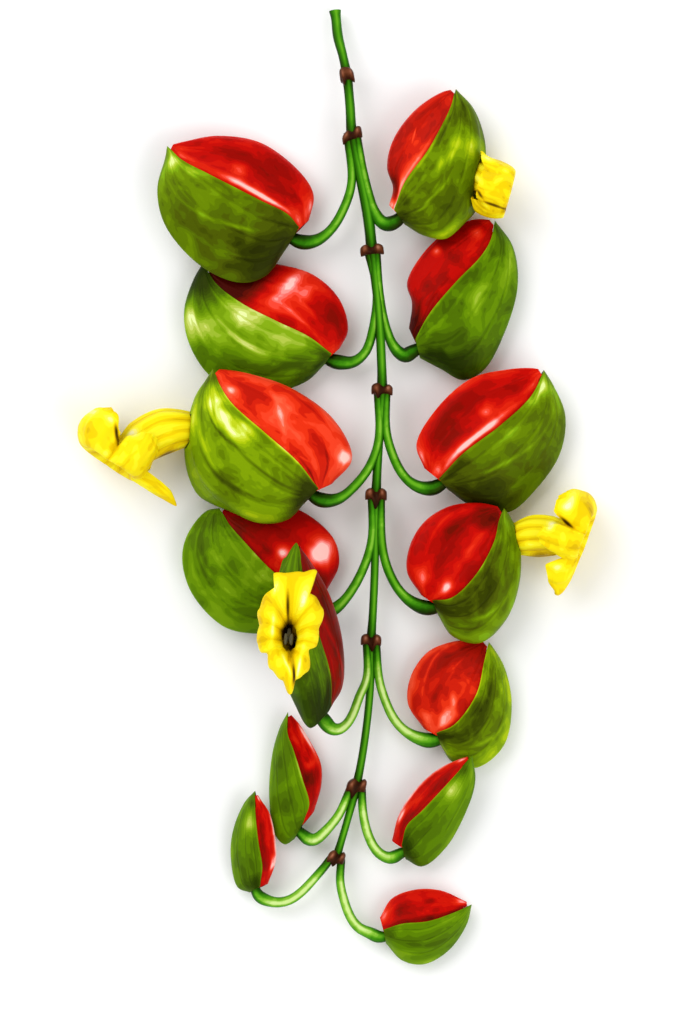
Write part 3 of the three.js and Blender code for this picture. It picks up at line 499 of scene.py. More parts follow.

# The four open corollas, with their spots of painted highlight and painted shade
FLOWERS = (
    Flower(
        "left_3",
        tube=((218, 432), (192, 429), (165, 431), (143, 441), (126, 454)),
        heights=(5.8, 6.3, 7.6, 9.0, 9.7),
        radii=(2.2, 3.8, 5.2, 5.1, 4.1),
        face=(114, 465), face_height=9.9, facing=(-0.56, -0.82, 0.12), up=(-0.83, 0.56, 0),
        rim=(
            (-90, 17.6, 0.6, 0), (-85, 15.4, 2.4, 0), (-79, 11.8, 3, 0), (-70, 8, 3, 0),
            (-60, 8.6, 5.4, 0.2), (-48, 9.4, 9, 0.8), (-32, 9.7, 10.6, 1.1), (-14, 9.4, 10, 1),
            (2, 8.4, 7.4, 0.4), (15, 6.5, 4, 0), (24, 8.4, 6.6, 0.2), (38, 10.9, 9.8, 1.2),
            (58, 12.6, 10.4, 3), (78, 12.7, 10, 3.8), (90, 12.2, 8, 4),
        ),
        spots=spots(
            (94, 413, 11, 6, 0, 0.22), (112, 420, 8, 4, -35, 0.24), (94, 434, 17, 5, -15, -0.04, 0.5),
            (87, 443, 8, 2.5, -30, -0.04), (117.3, 434, 10, 1.7, 98, -0.6),
            (108, 453, 5, 3.5, 0, 0.14, 0.5), (121, 467, 8, 3, -48, -0.05, 0.5), (135, 434, 8, 5, 0, 0.26),
            (137, 454, 9, 5, 80, 0.1, 0.5), (151, 447, 5, 2.5, 70, -0.06, 0.5),
            (155, 444, 11, 1, -62, -0.1), (135, 471, 12, 3, 25, -0.04), (163, 412, 20, 3, -4, 0.08),
            (163, 433, 12, 3, 15, 0.1, 0.5), (166, 454, 12, 3.4, 32, -0.34), (160, 465, 6, 4, 30, -0.04),
            (148, 481, 9, 2, -22, -0.08), (158, 489, 10, 2, -42, -0.05), (147, 489, 11, 1.3, -35, 0.2),
        ),
    ),
    Flower(
        "left_5",
        tube=((298, 644), (291, 640), (289, 637), (290, 636)),
        heights=(19.7, 23.6, 26.0, 28.6),
        radii=(1.6, 2.5, 3.2, 3.3),
        face=(290, 632), face_height=32.0, facing=(0.04, 0.02, 1), up=(0.07, 1, -0.02),
        mouth=(0.62, 1.16), alike=False, crumple=0.06,
        rim=(
            (-85, 14.5, 3.6, 0), (-78, 11, 3.4, 0), (-62, 10.1, 4.2, 0.3), (-36, 6, 2.6, 0),
            (-19, 7.1, 4.6, 0.3), (10, 7, 5, 0.3), (42, 9.9, 5.4, 0.4), (60, 10.7, 4.4, 0.2),
            (67, 10.6, 2.6, 0), (70.5, 16.3, 4, 0), (82, 14.8, 3, 0), (97, 14.3, 3, 0), (108, 14.7, 4, 0),
            (112, 11.2, 2.6, 0), (121, 10.9, 4.4, 0.2), (146, 9.1, 5.4, 0.4), (170, 7.2, 5, 0.3),
            (200, 7.8, 4.8, 0.3), (217, 8, 4.4, 0.2), (226, 7, 2.6, 0), (248, 9.6, 4.2, 0.3),
            (266, 11.2, 3.2, 0),
        ),
        spots=spots(
            (276, 588, 8, 2.6, 75, 0.24), (304, 599, 10, 3.6, 80, 0.22), (308, 575, 6, 3, 40, -0.04),
            (273, 577, 6, 3, 10, -0.02), (288.3, 606, 15, 1.7, 90, -0.55), (288.5, 600, 22, 5, 90, -0.04),
            (286.5, 629, 10, 5.5, 60, -0.7), (295, 623, 6, 4, 0, -0.08), (292, 652, 15, 3.4, -82, -0.32),
            (263.5, 609, 15, 3, 82, -0.07, 0.5), (264, 637, 10, 3.4, 90, -0.06, 0.5),
            (273, 627, 14, 1.9, 86, 0.26), (287.5, 664, 15, 1.7, -64, 0.3),
            (317, 606, 12, 3.4, 88, -0.07, 0.5), (313, 630, 8, 4, 80, -0.05, 0.5),
            (299.5, 664, 20, 1.6, 77, 0.26), (277, 664, 9, 3, -60, -0.05, 0.5),
            (305, 662, 9, 2.4, 75, -0.05, 0.5), (294, 674, 9, 1.5, 90, -0.75),
        ),
    ),
    Flower(
        "right_4",
        tube=((506, 541), (517, 539), (535, 536), (553, 536), (567, 538)),
        heights=(4.4, 4.9, 6.4, 8.0, 9.0),
        radii=(2.7, 3.7, 4.8, 4.5, 3.6),
        face=(583, 541), face_height=9.6, facing=(0.94, -0.34, 0.12), up=(0.34, 0.94, 0),
        rim=(
            (90, 10.8, 6.5, 2), (105, 11.6, 7.5, 1.8), (125, 11.2, 8.8, 1.5), (145, 8.2, 8.6, 0.5),
            (160, 5.8, 4.6, 0), (170, 7.4, 7.8, 0.4), (182, 8.3, 9.6, 1), (198, 8.7, 10.2, 1.2),
            (211, 8.4, 9, 0.8), (221, 7.7, 6, 0.3), (229, 7, 2.6, 0), (242, 9.6, 6.2, 0),
            (256, 12.2, 4.6, 0.5), (270, 14.2, 2.4, 0.6),
        ),
        spots=spots(
            (571, 500, 10, 5, 70, 0.26), (565, 507, 6, 4, 0, 0.2), (590, 512, 17, 3, 100, -0.07, 0.5),
            (579, 518, 8, 4, 50, -0.04, 0.5), (566, 522.3, 8, 1.8, -41, -0.6),
            (577, 530.5, 6, 4, -40, 0.12, 0.5), (533, 532, 10, 4, 5, 0.06),
            (533, 543, 9, 2.4, 0, 0.12, 0.5), (539, 554, 9, 2.2, 5, -0.32), (550, 527, 7, 4, 45, 0.28),
            (562, 542, 10, 4.5, 90, 0.12, 0.5), (547.5, 542, 6, 2.5, 80, -0.05, 0.5),
            (559, 556, 10, 2, -5, -0.04), (575, 544, 6, 3, 60, -0.05, 0.5), (558, 567, 7, 4, 0, 0.24),
            (571, 570, 15, 2.6, 62, -0.05, 0.5),
        ),
    ),
    Flower(
        "right_1",
        tube=((462, 168), (477, 175), (488, 181), (496, 187)),
        heights=(4.8, 5.4, 7.4, 9.4),
        radii=(2.2, 3.8, 4.4, 3.9),
        face=(508, 195), face_height=11.2, facing=(0.96, -0.27, 0.06), up=(0.24, 0.97, 0),
        rim=(
            (90, 7.1, 9.2, -1), (115, 7.2, 8.6, -0.8), (140, 6.4, 7, -0.4), (165, 7, 7.4, 0.4),
            (195, 6.9, 7.2, 0.4), (225, 6, 6.4, 1.2), (250, 6.3, 8, 3), (270, 6.6, 8.4, 3.6),
        ),
        spots=spots(
            (487, 160, 8, 3, -25, 0.24), (505, 172, 5, 3, -20, 0.26), (498, 182, 6, 3, 20, 0.2),
            (480, 182, 8, 3, -60, 0.16), (489.5, 172.6, 7, 2.5, -30, -0.06, 0.5),
            (502, 196, 6, 2, -70, -0.06, 0.5), (512.5, 192, 9, 2.4, 85, -0.12, 0.5),
            (479, 195, 7, 1.4, -55, -0.4), (494, 206, 12, 1.4, -18, -0.4, 0.5), (506, 208, 6, 3, 50, -0.24),
            (484, 204, 9, 1.6, -52, 0.16), (504, 216, 6, 2.4, 10, 0.06), (495, 200, 10, 2, -18, 0.16),
        ),
    ),
)

# The stem from its cut end to its last node: places in the picture, heights and radii
STEM_ROUTE = (
    (335, 10), (336, 18), (338, 36), (343, 56), (347, 76), (350, 105), (352, 135), (359, 170),
    (368, 215), (372, 251), (378, 305), (381, 350), (382, 390), (379, 440), (376, 496), (375, 560),
    (373, 610), (371, 642), (370, 690), (364, 745), (356, 788), (347, 822), (336, 859),
)
STEM_HEIGHTS = (
    2.6, 3.0, 3.9, 4.8, 5.5, 6.1, 6.5, 6.7, 6.9, 7.0, 7.2, 7.4, 7.5, 7.5, 7.4, 7.0, 6.7, 6.5, 6.0, 5.4, 5.0,
    4.6, 4.2,
)
STEM_RADII = (
    1.45, 1.2, 1.22, 1.08, 1.1, 1.15, 1.2, 1.2, 1.35, 1.25, 1.05, 1.1, 1.15, 1.05, 1.1, 0.98, 0.98, 1.05,
    0.95, 0.95, 1.0, 0.9, 0.95,
)


@dataclass(frozen=True)
class Node:
    """One brown collar of two lobes: its place in the picture, and half its width and height in millimetres.

    slope lifts its right side. lean turns the groove between the lobes, and cleft is how deep that is. tip
    is how far a point hangs down at tip_at. They are all shares of half the collar's height or width.
    """

    place: Point
    width: float
    height: float
    slope: float = 0.0
    lean: float = 0.0
    tip: float = 0.0
    tip_at: float = 0.0
    cleft: float = 1.0


NODES = (
    Node((347, 76), 1.75, 2.15, slope=-0.15, tip=0.5, tip_at=-0.45, cleft=0.0),
    Node((352, 136), 2.5, 1.8, slope=0.55, lean=0.1, tip=0.1),
    Node((372, 251), 2.86, 1.7, tip=0.1),
    Node((382, 390), 2.6, 1.7, slope=-0.1, lean=0.15, tip=0.8, tip_at=-0.28),
    Node((376, 495), 2.64, 1.8, tip=1.5),
    Node((371, 641), 2.5, 1.7, tip=1.15, tip_at=0.1),
    Node((355, 787), 2.35, 2.1, slope=0.3, lean=0.2, tip=1.0, tip_at=-0.15),
    Node((335, 859), 2.1, 2.0, slope=0.2, lean=0.2, tip=0.55, tip_at=-0.1),
)


class Side(Enum):
    """The two bracts of a pod."""

    GREEN = "green"
    RED = "red"


def wrapped(grid: Floats) -> Floats:
    """Repeat a grid's first column after its last, so that the two meet."""
    return np.hstack([grid, grid[:, :1]])


def quads(number: Floats) -> Floats:
    """Join a grid of point numbers into four-sided faces."""
    return np.stack([number[:-1, :-1], number[:-1, 1:], number[1:, 1:], number[1:, :-1]], -1).reshape(-1, 4)


def ball(columns: int, rows: int) -> tuple[Floats, Floats]:
    """Spread points over a ball, rows by columns: their turns round its axis and their falls from the top."""
    return np.meshgrid(2 * np.pi * np.arange(columns) / columns, np.linspace(0, np.pi, rows))


@dataclass
class Skin:
    """What the materials read at the points of a mesh.

    lay holds how far along and across a point lies and its piece's seed, tone how much lighter it is, painted
    highlights and shade together with the blades' own blotches, and inner is 1 on an inner face.
    """

    lay: Floats
    tone: Floats
    inner: Floats


def mesh_object(name: str, points: Floats, faces: Sequence[Sequence[int]], skin: Skin) -> Object:
    """Make a smooth closed mesh whose faces look outwards.

    Args:
        name: The piece's name.
        points: Its points in millimetres.
        faces: Its faces, as numbers of points.
        skin: What the materials read at each point.

    Returns:
        The object, at the origin.
    """
    same, sliver = 2e-6, 1e-7  # metres
    mesh = bpy.data.meshes.new(name)
    mesh.from_pydata((points * MM).tolist(), [], faces)
    mesh.attributes.new("lay", "FLOAT_VECTOR", "POINT").data.foreach_set("vector", skin.lay.ravel())
    mesh.attributes.new("tone", "FLOAT", "POINT").data.foreach_set("value", skin.tone.ravel())
    mesh.attributes.new("inner", "FLOAT", "POINT").data.foreach_set("value", skin.inner.ravel())
    shape = bmesh.new()
    shape.from_mesh(mesh)
    bmesh.ops.remove_doubles(shape, verts=shape.verts, dist=same)
    bmesh.ops.dissolve_degenerate(shape, edges=shape.edges, dist=sliver)
    bmesh.ops.recalc_face_normals(shape, faces=shape.faces)
    shape.to_mesh(mesh)
    shape.free()
    mesh.shade_smooth()
    mesh.set_sharp_from_angle(angle=CREASE)
    obj = bpy.data.objects.new(name, mesh)
    bpy.context.scene.collection.objects.link(obj)
    return obj


@dataclass
class Sheet:
    """A thin closed sheet between an outer and an inner grid of points, rows by columns.

    along, across and tone belong to the grid's points. Where it wraps, the last column meets the first.
    """

    outer: Floats
    inner: Floats
    along: Floats
    across: Floats
    tone: Floats
    seed: float
    wraps: bool = False

    def build(self, name: str) -> Object:
        """Make the sheet's mesh.

        Args:
            name: The piece's name.

        Returns:
            The object.
        """
        size = self.along.size
        number = np.arange(size).reshape(self.along.shape)
        if self.wraps:
            number = wrapped(number)
        rims = [number[0], number[-1]]
        if not self.wraps:
            rims += [number[:, 0], number[:, -1]]
        front = quads(number)
        faces = [front, front[:, ::-1] + size]
        faces += [np.stack([rim[:-1], rim[1:], rim[1:] + size, rim[:-1] + size], -1) for rim in rims]
        points = np.concatenate([self.outer.reshape(-1, 3), self.inner.reshape(-1, 3)])
        lay = np.stack([self.along, self.across, np.full_like(self.along, self.seed)], -1).reshape(-1, 3)
        skin = Skin(np.tile(lay, (2, 1)), np.tile(self.tone.ravel(), 2), np.repeat([0.0, 1.0], size))
        return mesh_object(name, points, np.concatenate(faces).tolist(), skin)


@dataclass
class Tube:
    """A closed tube through rings.

    centres, ahead and radii give each ring, reference the direction that its points are counted from, and
    along its place for the materials.
    """

    centres: Floats
    ahead: Floats
    radii: Floats
    sides: int
    reference: Floats = field(default_factory=lambda: np.array([0.0, 0.0, 1.0]))
    along: Floats | None = None

    def points(self) -> Floats:
        """Find the points of every ring, rings by sides."""
        across = unit(np.cross(self.ahead, self.reference))
        over = unit(np.cross(across, self.ahead))
        turn = 2 * np.pi * (np.arange(self.sides) + 0.5) / self.sides
        ring = across[:, None] * np.cos(turn)[None, :, None] + over[:, None] * np.sin(turn)[None, :, None]
        return self.centres[:, None] + ring * self.radii[:, None, None]

    def parts(self, first: int = 0) -> tuple[Floats, list[list[int]], Floats]:
        """Give what the tube adds to a mesh.

        Args:
            first: The number of its first point.

        Returns:
            Its points, its faces, and how far along and around each point lies.
        """
        grid = self.points()
        rings = len(grid)
        number = first + np.arange(rings * self.sides).reshape(rings, self.sides)
        faces = quads(wrapped(number)).tolist() + [number[0][::-1].tolist(), number[-1].tolist()]
        along = np.linspace(0, 1, rings) if self.along is None else self.along
        around = (np.arange(self.sides) + 0.5) / self.sides
        lay = np.stack(np.broadcast_arrays(along[:, None], around[None, :]), -1)
        return grid.reshape(-1, 3), faces, lay.reshape(-1, 2)


def applied(obj: Object) -> None:
    """Replace an object's mesh by what its modifiers make of it."""
    depsgraph = bpy.context.evaluated_depsgraph_get()
    made = bpy.data.meshes.new_from_object(obj.evaluated_get(depsgraph), depsgraph=depsgraph)
    obj.modifiers.clear()
    old = obj.data
    obj.data = made
    bpy.data.meshes.remove(old)


def shade(code: str) -> tuple[float, float, float, float]:
    """Turn a colour such as "#3f8f10", as it looks on a screen, into the linear one that a node takes."""
    values = [int(code[i : i + 2], 16) / 255 for i in (1, 3, 5)]
    linear = [v / 12.92 if v <= 0.04045 else ((v + 0.055) / 1.055) ** 2.4 for v in values]
    return (*linear, 1.0)


class Wiring:
    """The nodes of one material or group, put down and joined in code."""

    def __init__(self, tree: NodeTree) -> None:
        """Start on an empty tree."""
        self.tree = tree
        tree.nodes.clear()

    def node(self, kind: str, inputs: dict[str | int, object] | None = None, **settings: object) -> Laid:
        """Put down one node.

        Args:
            kind: Its Blender type.
            inputs: Values or other nodes' outputs for its sockets, by name or number.
            **settings: Its own settings.

        Returns:
            The node.
        """
        made = self.tree.nodes.new(kind)
        for name, value in settings.items():
            setattr(made, name, value)
        for name, value in (inputs or {}).items():
            self.put(made.inputs[name], value)
        return made

    def put(self, socket: NodeSocket, value: object) -> None:
        """Join a socket to an output, or set its value."""
        if isinstance(value, NodeSocket):
            self.tree.links.new(value, socket)
        else:
            socket.default_value = value

    def math(self, operation: str, *values: Value) -> NodeSocket:
        """Work out one sum, by Blender's name of the operation."""
        return self.node("ShaderNodeMath", dict(enumerate(values)), operation=operation).outputs[0]

    def plus(self, first: Value, second: Value) -> NodeSocket:
        """Add two values."""
        return self.math("ADD", first, second)

    def minus(self, first: Value, second: Value) -> NodeSocket:
        """Take the second value from the first."""
        return self.math("SUBTRACT", first, second)

    def times(self, first: Value, second: Value, more: Value = 0.0) -> NodeSocket:
        """Multiply two values, and add a third."""
        return self.math("MULTIPLY_ADD", first, second, more)

    def off(self, value: Value, middle: float) -> NodeSocket:
        """Find how far a value is from a middle, either way."""
        return self.math("ABSOLUTE", self.minus(value, middle))

    def spread(
        self, value: Value, low: Value, high: Value, to_low: Value = 0.0, to_high: Value = 1.0
    ) -> NodeSocket:
        """Map a value from one range to another with a smooth run between their ends."""
        inputs = {"Value": value, "From Min": low, "From Max": high, "To Min": to_low, "To Max": to_high}
        return self.node("ShaderNodeMapRange", inputs, interpolation_type="SMOOTHSTEP").outputs["Result"]

    def vector(self, x: Value, y: Value, z: Value) -> NodeSocket:
        """Join three values into a vector."""
        return self.node("ShaderNodeCombineXYZ", {"X": x, "Y": y, "Z": z}).outputs[0]

    def noise(self, place: NodeSocket, scale: Value, detail: float, roughness: float = 0.5) -> Laid:
        """Put down a cloudy pattern that is read at a place."""
        inputs = {"Vector": place, "Scale": scale, "Detail": detail, "Roughness": roughness}
        return self.node("ShaderNodeTexNoise", inputs)

    def cloud(self, place: NodeSocket, scale: Value, detail: float, roughness: float = 0.5) -> NodeSocket:
        """Read a cloudy pattern, from 0 to 1, at a place."""
        return self.noise(place, scale, detail, roughness).outputs["Fac"]

    def ramp(self, value: NodeSocket, places: Sequence[float], codes: Sequence[str]) -> NodeSocket:
        """Turn a value into a colour.

        Args:
            value: The value, from 0 to 1.
            places: Where along that range the colours stand.
            codes: The colours.

        Returns:
            The colour.
        """
        made = self.node("ShaderNodeValToRGB", {"Fac": value})
        elements = made.color_ramp.elements
        for _ in range(len(places) - len(elements)):
            elements.new(1.0)
        for element, place, code in zip(elements, places, codes):
            element.position = place
            element.color = shade(code)
        return made.outputs["Color"]

    def group(self, tree: NodeTree, **values: Value) -> Laid:
        """Place a shared effect, with values for its inputs by their names in small letters."""
        inputs = {name.capitalize(): value for name, value in values.items()}
        return self.node("ShaderNodeGroup", inputs, node_tree=tree)

    def read(self, name: str, output: str = "Fac") -> NodeSocket:
        """Read one of the mesh's own values."""
        return self.node("ShaderNodeAttribute", attribute_name=name).outputs[output]


@dataclass(frozen=True)
class Effect:
    """An effect that several materials share: a node group with named inputs and outputs.

    wire joins its nodes: it is given the wiring and the inputs in order, and returns the outputs in order.
    """

    name: str
    inputs: tuple[str, ...]
    outputs: tuple[str, ...]
    wire: Callable[..., tuple[NodeSocket, ...]]

    def build(self) -> NodeTree:
        """Make the node group."""
        tree = bpy.data.node_groups.new(self.name, "ShaderNodeTree")
        for way, names in (("INPUT", self.inputs), ("OUTPUT", self.outputs)):
            for name in names:
                tree.interface.new_socket(name, in_out=way, socket_type="NodeSocketFloat")
        wiring = Wiring(tree)
        given = wiring.node("NodeGroupInput")
        results = self.wire(wiring, *(given.outputs[name] for name in self.inputs))
        wiring.node("NodeGroupOutput", dict(zip(self.outputs, results)))
        return tree


def wire_veins(
    w: Wiring, along: NodeSocket, across: NodeSocket, seed: NodeSocket, count: NodeSocket, wander: NodeSocket
) -> tuple[NodeSocket, NodeSocket]:
    """Draw lengthwise veins, a groove with a raised line beside it, wandering a little; the materials paint
    shade into the groove and a highlight onto the raised line, and use both as relief.

    Args:
        w: The wiring of the group.
        along: How far along the blade a point lies.
        across: How far across it.
        seed: A number that varies the pattern.
        count: How many veins there are from seam to edge.
        wander: How far they wander, in widths between veins.

    Returns:
        The masks of the grooves and of the crests.
    """
    groove_at, groove_wide, crest_at, crest_wide = 0.5, 0.1, 0.64, 0.14
    stray = w.minus(w.cloud(w.vector(w.times(along, 2.2), w.times(across, 1.3), seed), 1.0, 1.0), 0.5)
    counted = w.plus(w.times(across, count), w.times(stray, wander))
    breaks = w.spread(w.cloud(w.vector(w.times(along, 5.0), counted, seed), 0.7, 1.0), 0.32, 0.5, 0.25, 1.0)
    shown = w.times(breaks, w.spread(along, 0.0, 0.12, 0.3, 1.0))
    part = w.math("FRACT", counted)
    groove = w.times(w.spread(w.off(part, groove_at), 0.01, groove_wide, 1.0, 0.0), shown)
    crest = w.times(w.spread(w.off(part, crest_at), 0.01, crest_wide, 1.0, 0.0), shown)
    return groove, crest


def wire_mottle(
    w: Wiring, along: NodeSocket, across: NodeSocket, seed: NodeSocket, long: NodeSocket, wide: NodeSocket
) -> tuple[NodeSocket]:
    """Draw patches of lighter and darker colour, stretched along a blade.

    Args:
        w: The wiring of the group.
        along: How far along the blade a point lies.
        across: How far across it.
        seed: A number that varies the pattern.
        long: How many patches there are along the blade.
        wide: How many there are across it.

    Returns:
        The lightness, from 0 to 1.
    """
    place = w.vector(w.times(along, long), w.times(across, wide), seed)
    bent = w.noise(place, 0.8, 1.0).outputs["Color"]
    moved = w.node("ShaderNodeVectorMath", {0: place, 1: bent}, operation="ADD").outputs[0]
    return (w.spread(w.cloud(moved, 1.0, 2.0, 0.55), 0.3, 0.7),)


def wire_grain(w: Wiring, fine: NodeSocket) -> tuple[NodeSocket]:
    """Give a plant's skin its fine cells, and slow swells under them.

    Args:
        w: The wiring of the group.
        fine: The number of cells a metre.

    Returns:
        The height, from 0 to 1.
    """
    cell_share, swell_share, swell_size = 0.35, 0.65, 0.12
    place = w.node("ShaderNodeTexCoord").outputs["Object"]
    swells = w.cloud(place, w.times(fine, swell_size), 1.0)
    return (w.times(w.cloud(place, fine, 2.0), cell_share, w.times(swells, swell_share)),)


def wire_patches(w: Wiring, level: NodeSocket, steps: NodeSocket, soft: NodeSocket) -> tuple[NodeSocket]:
    """Gather a smooth value into patches of one tone with soft edges between them.

    Args:
        w: The wiring of the group.
        level: The value.
        steps: How many tones there are from 0 to 1.
        soft: How soft the edges are, from 0 to 0.5.

    Returns:
        The gathered value.
    """
    counted = w.times(level, steps)
    risen = w.spread(w.math("FRACT", counted), w.minus(0.5, soft), w.plus(0.5, soft))
    return (w.math("DIVIDE", w.plus(w.math("FLOOR", counted), risen), steps),)


VEINS = Effect("veins", ("Along", "Across", "Seed", "Count", "Wander"), ("Groove", "Crest"), wire_veins)
MOTTLE = Effect("mottle", ("Along", "Across", "Seed", "Lengthwise", "Crosswise"), ("Value",), wire_mottle)
GRAIN = Effect("skin grain", ("Fine",), ("Height",), wire_grain)
PATCHES = Effect("patches", ("Level", "Steps", "Soft"), ("Value",), wire_patches)


@dataclass(frozen=True)
class Shared:
    """The shared effects, built."""

    veins: NodeTree
    mottle: NodeTree
    grain: NodeTree
    patches: NodeTree


@dataclass(frozen=True)
class Gloss:
    """How a surface shines: its roughness where smooth and where dull, and its relief."""

    smooth: float
    dull: float
    relief: float


SHINE = 0.16  # how strongly a plant's skin mirrors light
RELIEF_DEPTH = 0.0003  # metres
GRAIN_HEIGHT, CREST_HEIGHT = 0.35, 0.6  # shares of a groove's depth
FOOT_REACH, RIM_REACH, MARGIN_REACH = 0.2, 0.05, 0.02  # shares of the blade's length and of its width
BRACT_PLACES = (0.0, 0.15, 0.3, 0.4, 0.5, 0.6, 0.7, 0.8, 0.9, 1.0)


@dataclass(frozen=True)
class Finish:
    """A finish on the plant: its colours from dark to light at their places, and how each effect shows.

    The tone level of a point picks its colour. It starts at base. groove, crest, mottle, foot, rim,
    margin_highlight and inner are how far the veins' grooves and crests, the mottling, the blade's foot, its
    seam, its outer edge and its inner face move it: groove paints shade into the grooves and crest a
    highlight on the crests, and rim and margin_highlight paint highlights along the seam and the outer edge.
    vein_count and vein_wander lay the veins, lengthwise and crosswise the mottling and fine the grain. steps
    and soft gather the level into patches. tint colours the shine.
    """

    name: str
    colours: tuple[str, ...]
    gloss: Gloss
    groove: float
    crest: float
    mottle: float
    places: tuple[float, ...] = BRACT_PLACES
    base: float = 0.5
    vein_count: float = 4.5
    vein_wander: float = 0.5
    lengthwise: float = 2.0
    crosswise: float = 5.0
    foot: float = 0.0
    rim: float = 0.0
    margin_highlight: float = 0.0
    inner: float = -0.2
    fine: float = 900.0
    steps: float = 13.0
    soft: float = 0.16
    tint: str = "#ffffff"

    def material(self, shared: Shared) -> Material:
        """Build the finish's material.

        Args:
            shared: The shared effects.

        Returns:
            The material.
        """
        material = bpy.data.materials.new(self.name)
        material.use_nodes = True
        w = Wiring(material.node_tree)
        split = w.node("ShaderNodeSeparateXYZ", {0: w.read("lay", "Vector")})
        lay = dict(zip(("along", "across", "seed"), split.outputs))
        along, across = lay["along"], lay["across"]
        veins = w.group(shared.veins, **lay, count=self.vein_count, wander=self.vein_wander)
        groove, crest = veins.outputs
        counts = {"lengthwise": self.lengthwise, "crosswise": self.crosswise}
        mottle = w.group(shared.mottle, **lay, **counts).outputs[0]
        grain = w.group(shared.grain, fine=self.fine).outputs[0]
        level = w.times(w.minus(mottle, 0.5), self.mottle, self.base)
        # the tone holds painted highlights and painted shade, with the blades' own blotches
        level = w.plus(level, w.read("tone"))
        # painted shade in the veins' grooves and a painted highlight on their crests
        level = w.times(groove, -self.groove, level)
        level = w.times(crest, self.crest, level)
        level = w.minus(level, w.spread(along, 0.0, FOOT_REACH, self.foot, 0.0))
        # painted highlights along the seam and along the outer edge
        level = w.plus(level, w.spread(across, 0.0, RIM_REACH, self.rim, 0.0))
        level = w.plus(level, w.spread(w.off(across, 1.0), 0.0, MARGIN_REACH, self.margin_highlight, 0.0))
        level = w.times(w.read("inner"), self.inner, level)
        tone = w.group(shared.patches, level=level, steps=self.steps, soft=self.soft).outputs[0]
        height = w.times(grain, GRAIN_HEIGHT, w.minus(w.times(crest, CREST_HEIGHT), groove))
        relief = {"Height": height, "Strength": self.gloss.relief, "Distance": RELIEF_DEPTH}
        inputs = {
            "Base Color": w.ramp(tone, self.places, self.colours),
            "Roughness": w.spread(mottle, 0.2, 0.8, self.gloss.smooth, self.gloss.dull),
            "Specular IOR Level": SHINE,
            "Specular Tint": shade(self.tint),
            "Normal": w.node("ShaderNodeBump", relief).outputs["Normal"],
        }
        shader = w.node("ShaderNodeBsdfPrincipled", inputs)
        w.node("ShaderNodeOutputMaterial", {"Surface": shader.outputs[0]})
        return material


WAXY = Gloss(smooth=0.42, dull=0.58, relief=0.25)

LEAF_SKIN = Finish(
    "green bract",
    (
        "#142400", "#243900", "#3a5502", "#496b02", "#588001", "#698f06", "#7ea414", "#9cb636", "#b8c654",
        "#e0eea0",
    ),
    WAXY, groove=0.06, crest=0.04, mottle=0.24, base=0.0, vein_count=3.4, lengthwise=6.5, crosswise=3.8,
    foot=0.06, rim=0.12, margin_highlight=0.08, tint="#e8ff60",
)
BUD_SKIN = replace(LEAF_SKIN, name="bud", lengthwise=3.6, crosswise=2.6, mottle=0.14)
OLIVE_SKIN = replace(
    LEAF_SKIN,
    name="olive bract",
    colours=(
        "#1a1e00", "#2c3400", "#434f02", "#4c6202", "#5a7600", "#688603", "#76a00c", "#94b418", "#b4c840",
        "#dcec90",
    ),
)
LIME_SKIN = replace(
    LEAF_SKIN,
    name="lime bract",
    colours=(
        "#202800", "#374501", "#4c6001", "#5c7800", "#6e8e03", "#84a404", "#a4bc08", "#bccc20", "#cedf50",
        "#eef8a8",
    ),
)
RED_SKIN = Finish(
    "red bract",
    (
        "#3c0300", "#680a00", "#8e0401", "#a60501", "#c00602", "#cf1a04", "#e02c14", "#f04a38", "#f9807a",
        "#ffc0b8",
    ),
    WAXY, groove=0.02, crest=0.02, mottle=0.2, base=0.0, vein_count=2.5, lengthwise=5.5, crosswise=3.2,
    rim=0.06, margin_highlight=0.06, tint="#ff8070",
)
FLAME_SKIN = replace(
    RED_SKIN,
    name="flame bract",
    colours=(
        "#500600", "#8a0c02", "#aa1004", "#c41806", "#e23010", "#ee4426", "#fb5c3c", "#fe8c7c", "#ffc8bc",
    ),
    places=(0.0, 0.2, 0.35, 0.45, 0.55, 0.65, 0.78, 0.88, 1.0),
)
STEM_SKIN = Finish(
    "stem",
    ("#061c00", "#104000", "#246a06", "#3c880e", "#5ea41c", "#92c444", "#c8e28c"),
    Gloss(smooth=0.4, dull=0.6, relief=0.2),
    places=(0.0, 0.2, 0.4, 0.55, 0.7, 0.85, 1.0),
    groove=0.03, crest=0.02, mottle=0.12, base=0.47, vein_count=3.0, lengthwise=12.0, crosswise=2.0,
    fine=1500.0, tint="#e8ff60",
)
NODE_SKIN = Finish(
    "node scale",
    ("#1c0800", "#341204", "#4c240f", "#78432b", "#a87058"),
    Gloss(smooth=0.45, dull=0.7, relief=0.4),
    places=(0.0, 0.3, 0.5, 0.75, 1.0),
    groove=0.06, crest=0.04, mottle=0.2, vein_count=5.0, lengthwise=3.0, crosswise=6.0,
    fine=1800.0, tint="#ffc0a0",
)
YELLOW_SKIN = Finish(
    "corolla",
    (
        "#2a1600", "#4a3400", "#806400", "#b89400", "#dab400", "#f0d004", "#faea12", "#fff438", "#fff88c",
        "#fffde0",
    ),
    Gloss(smooth=0.5, dull=0.65, relief=0.3),
    places=(0.0, 0.12, 0.25, 0.36, 0.46, 0.56, 0.66, 0.76, 0.86, 1.0),
    groove=0.02, crest=0.03, mottle=0.1, base=0.6, vein_count=10.0, vein_wander=0.3, lengthwise=5.0,
    crosswise=6.0, foot=0.1, inner=0.0, fine=1400.0, tint="#fff080",
)
ANTHER_SKIN = Finish(
    "anthers",
    ("#1a1408", "#54503a", "#8d8a6a"),
    Gloss(smooth=0.6, dull=0.8, relief=0.6),
    places=(0.0, 0.5, 1.0),
    groove=0.1, crest=0.1, mottle=0.4, fine=3000.0,
)


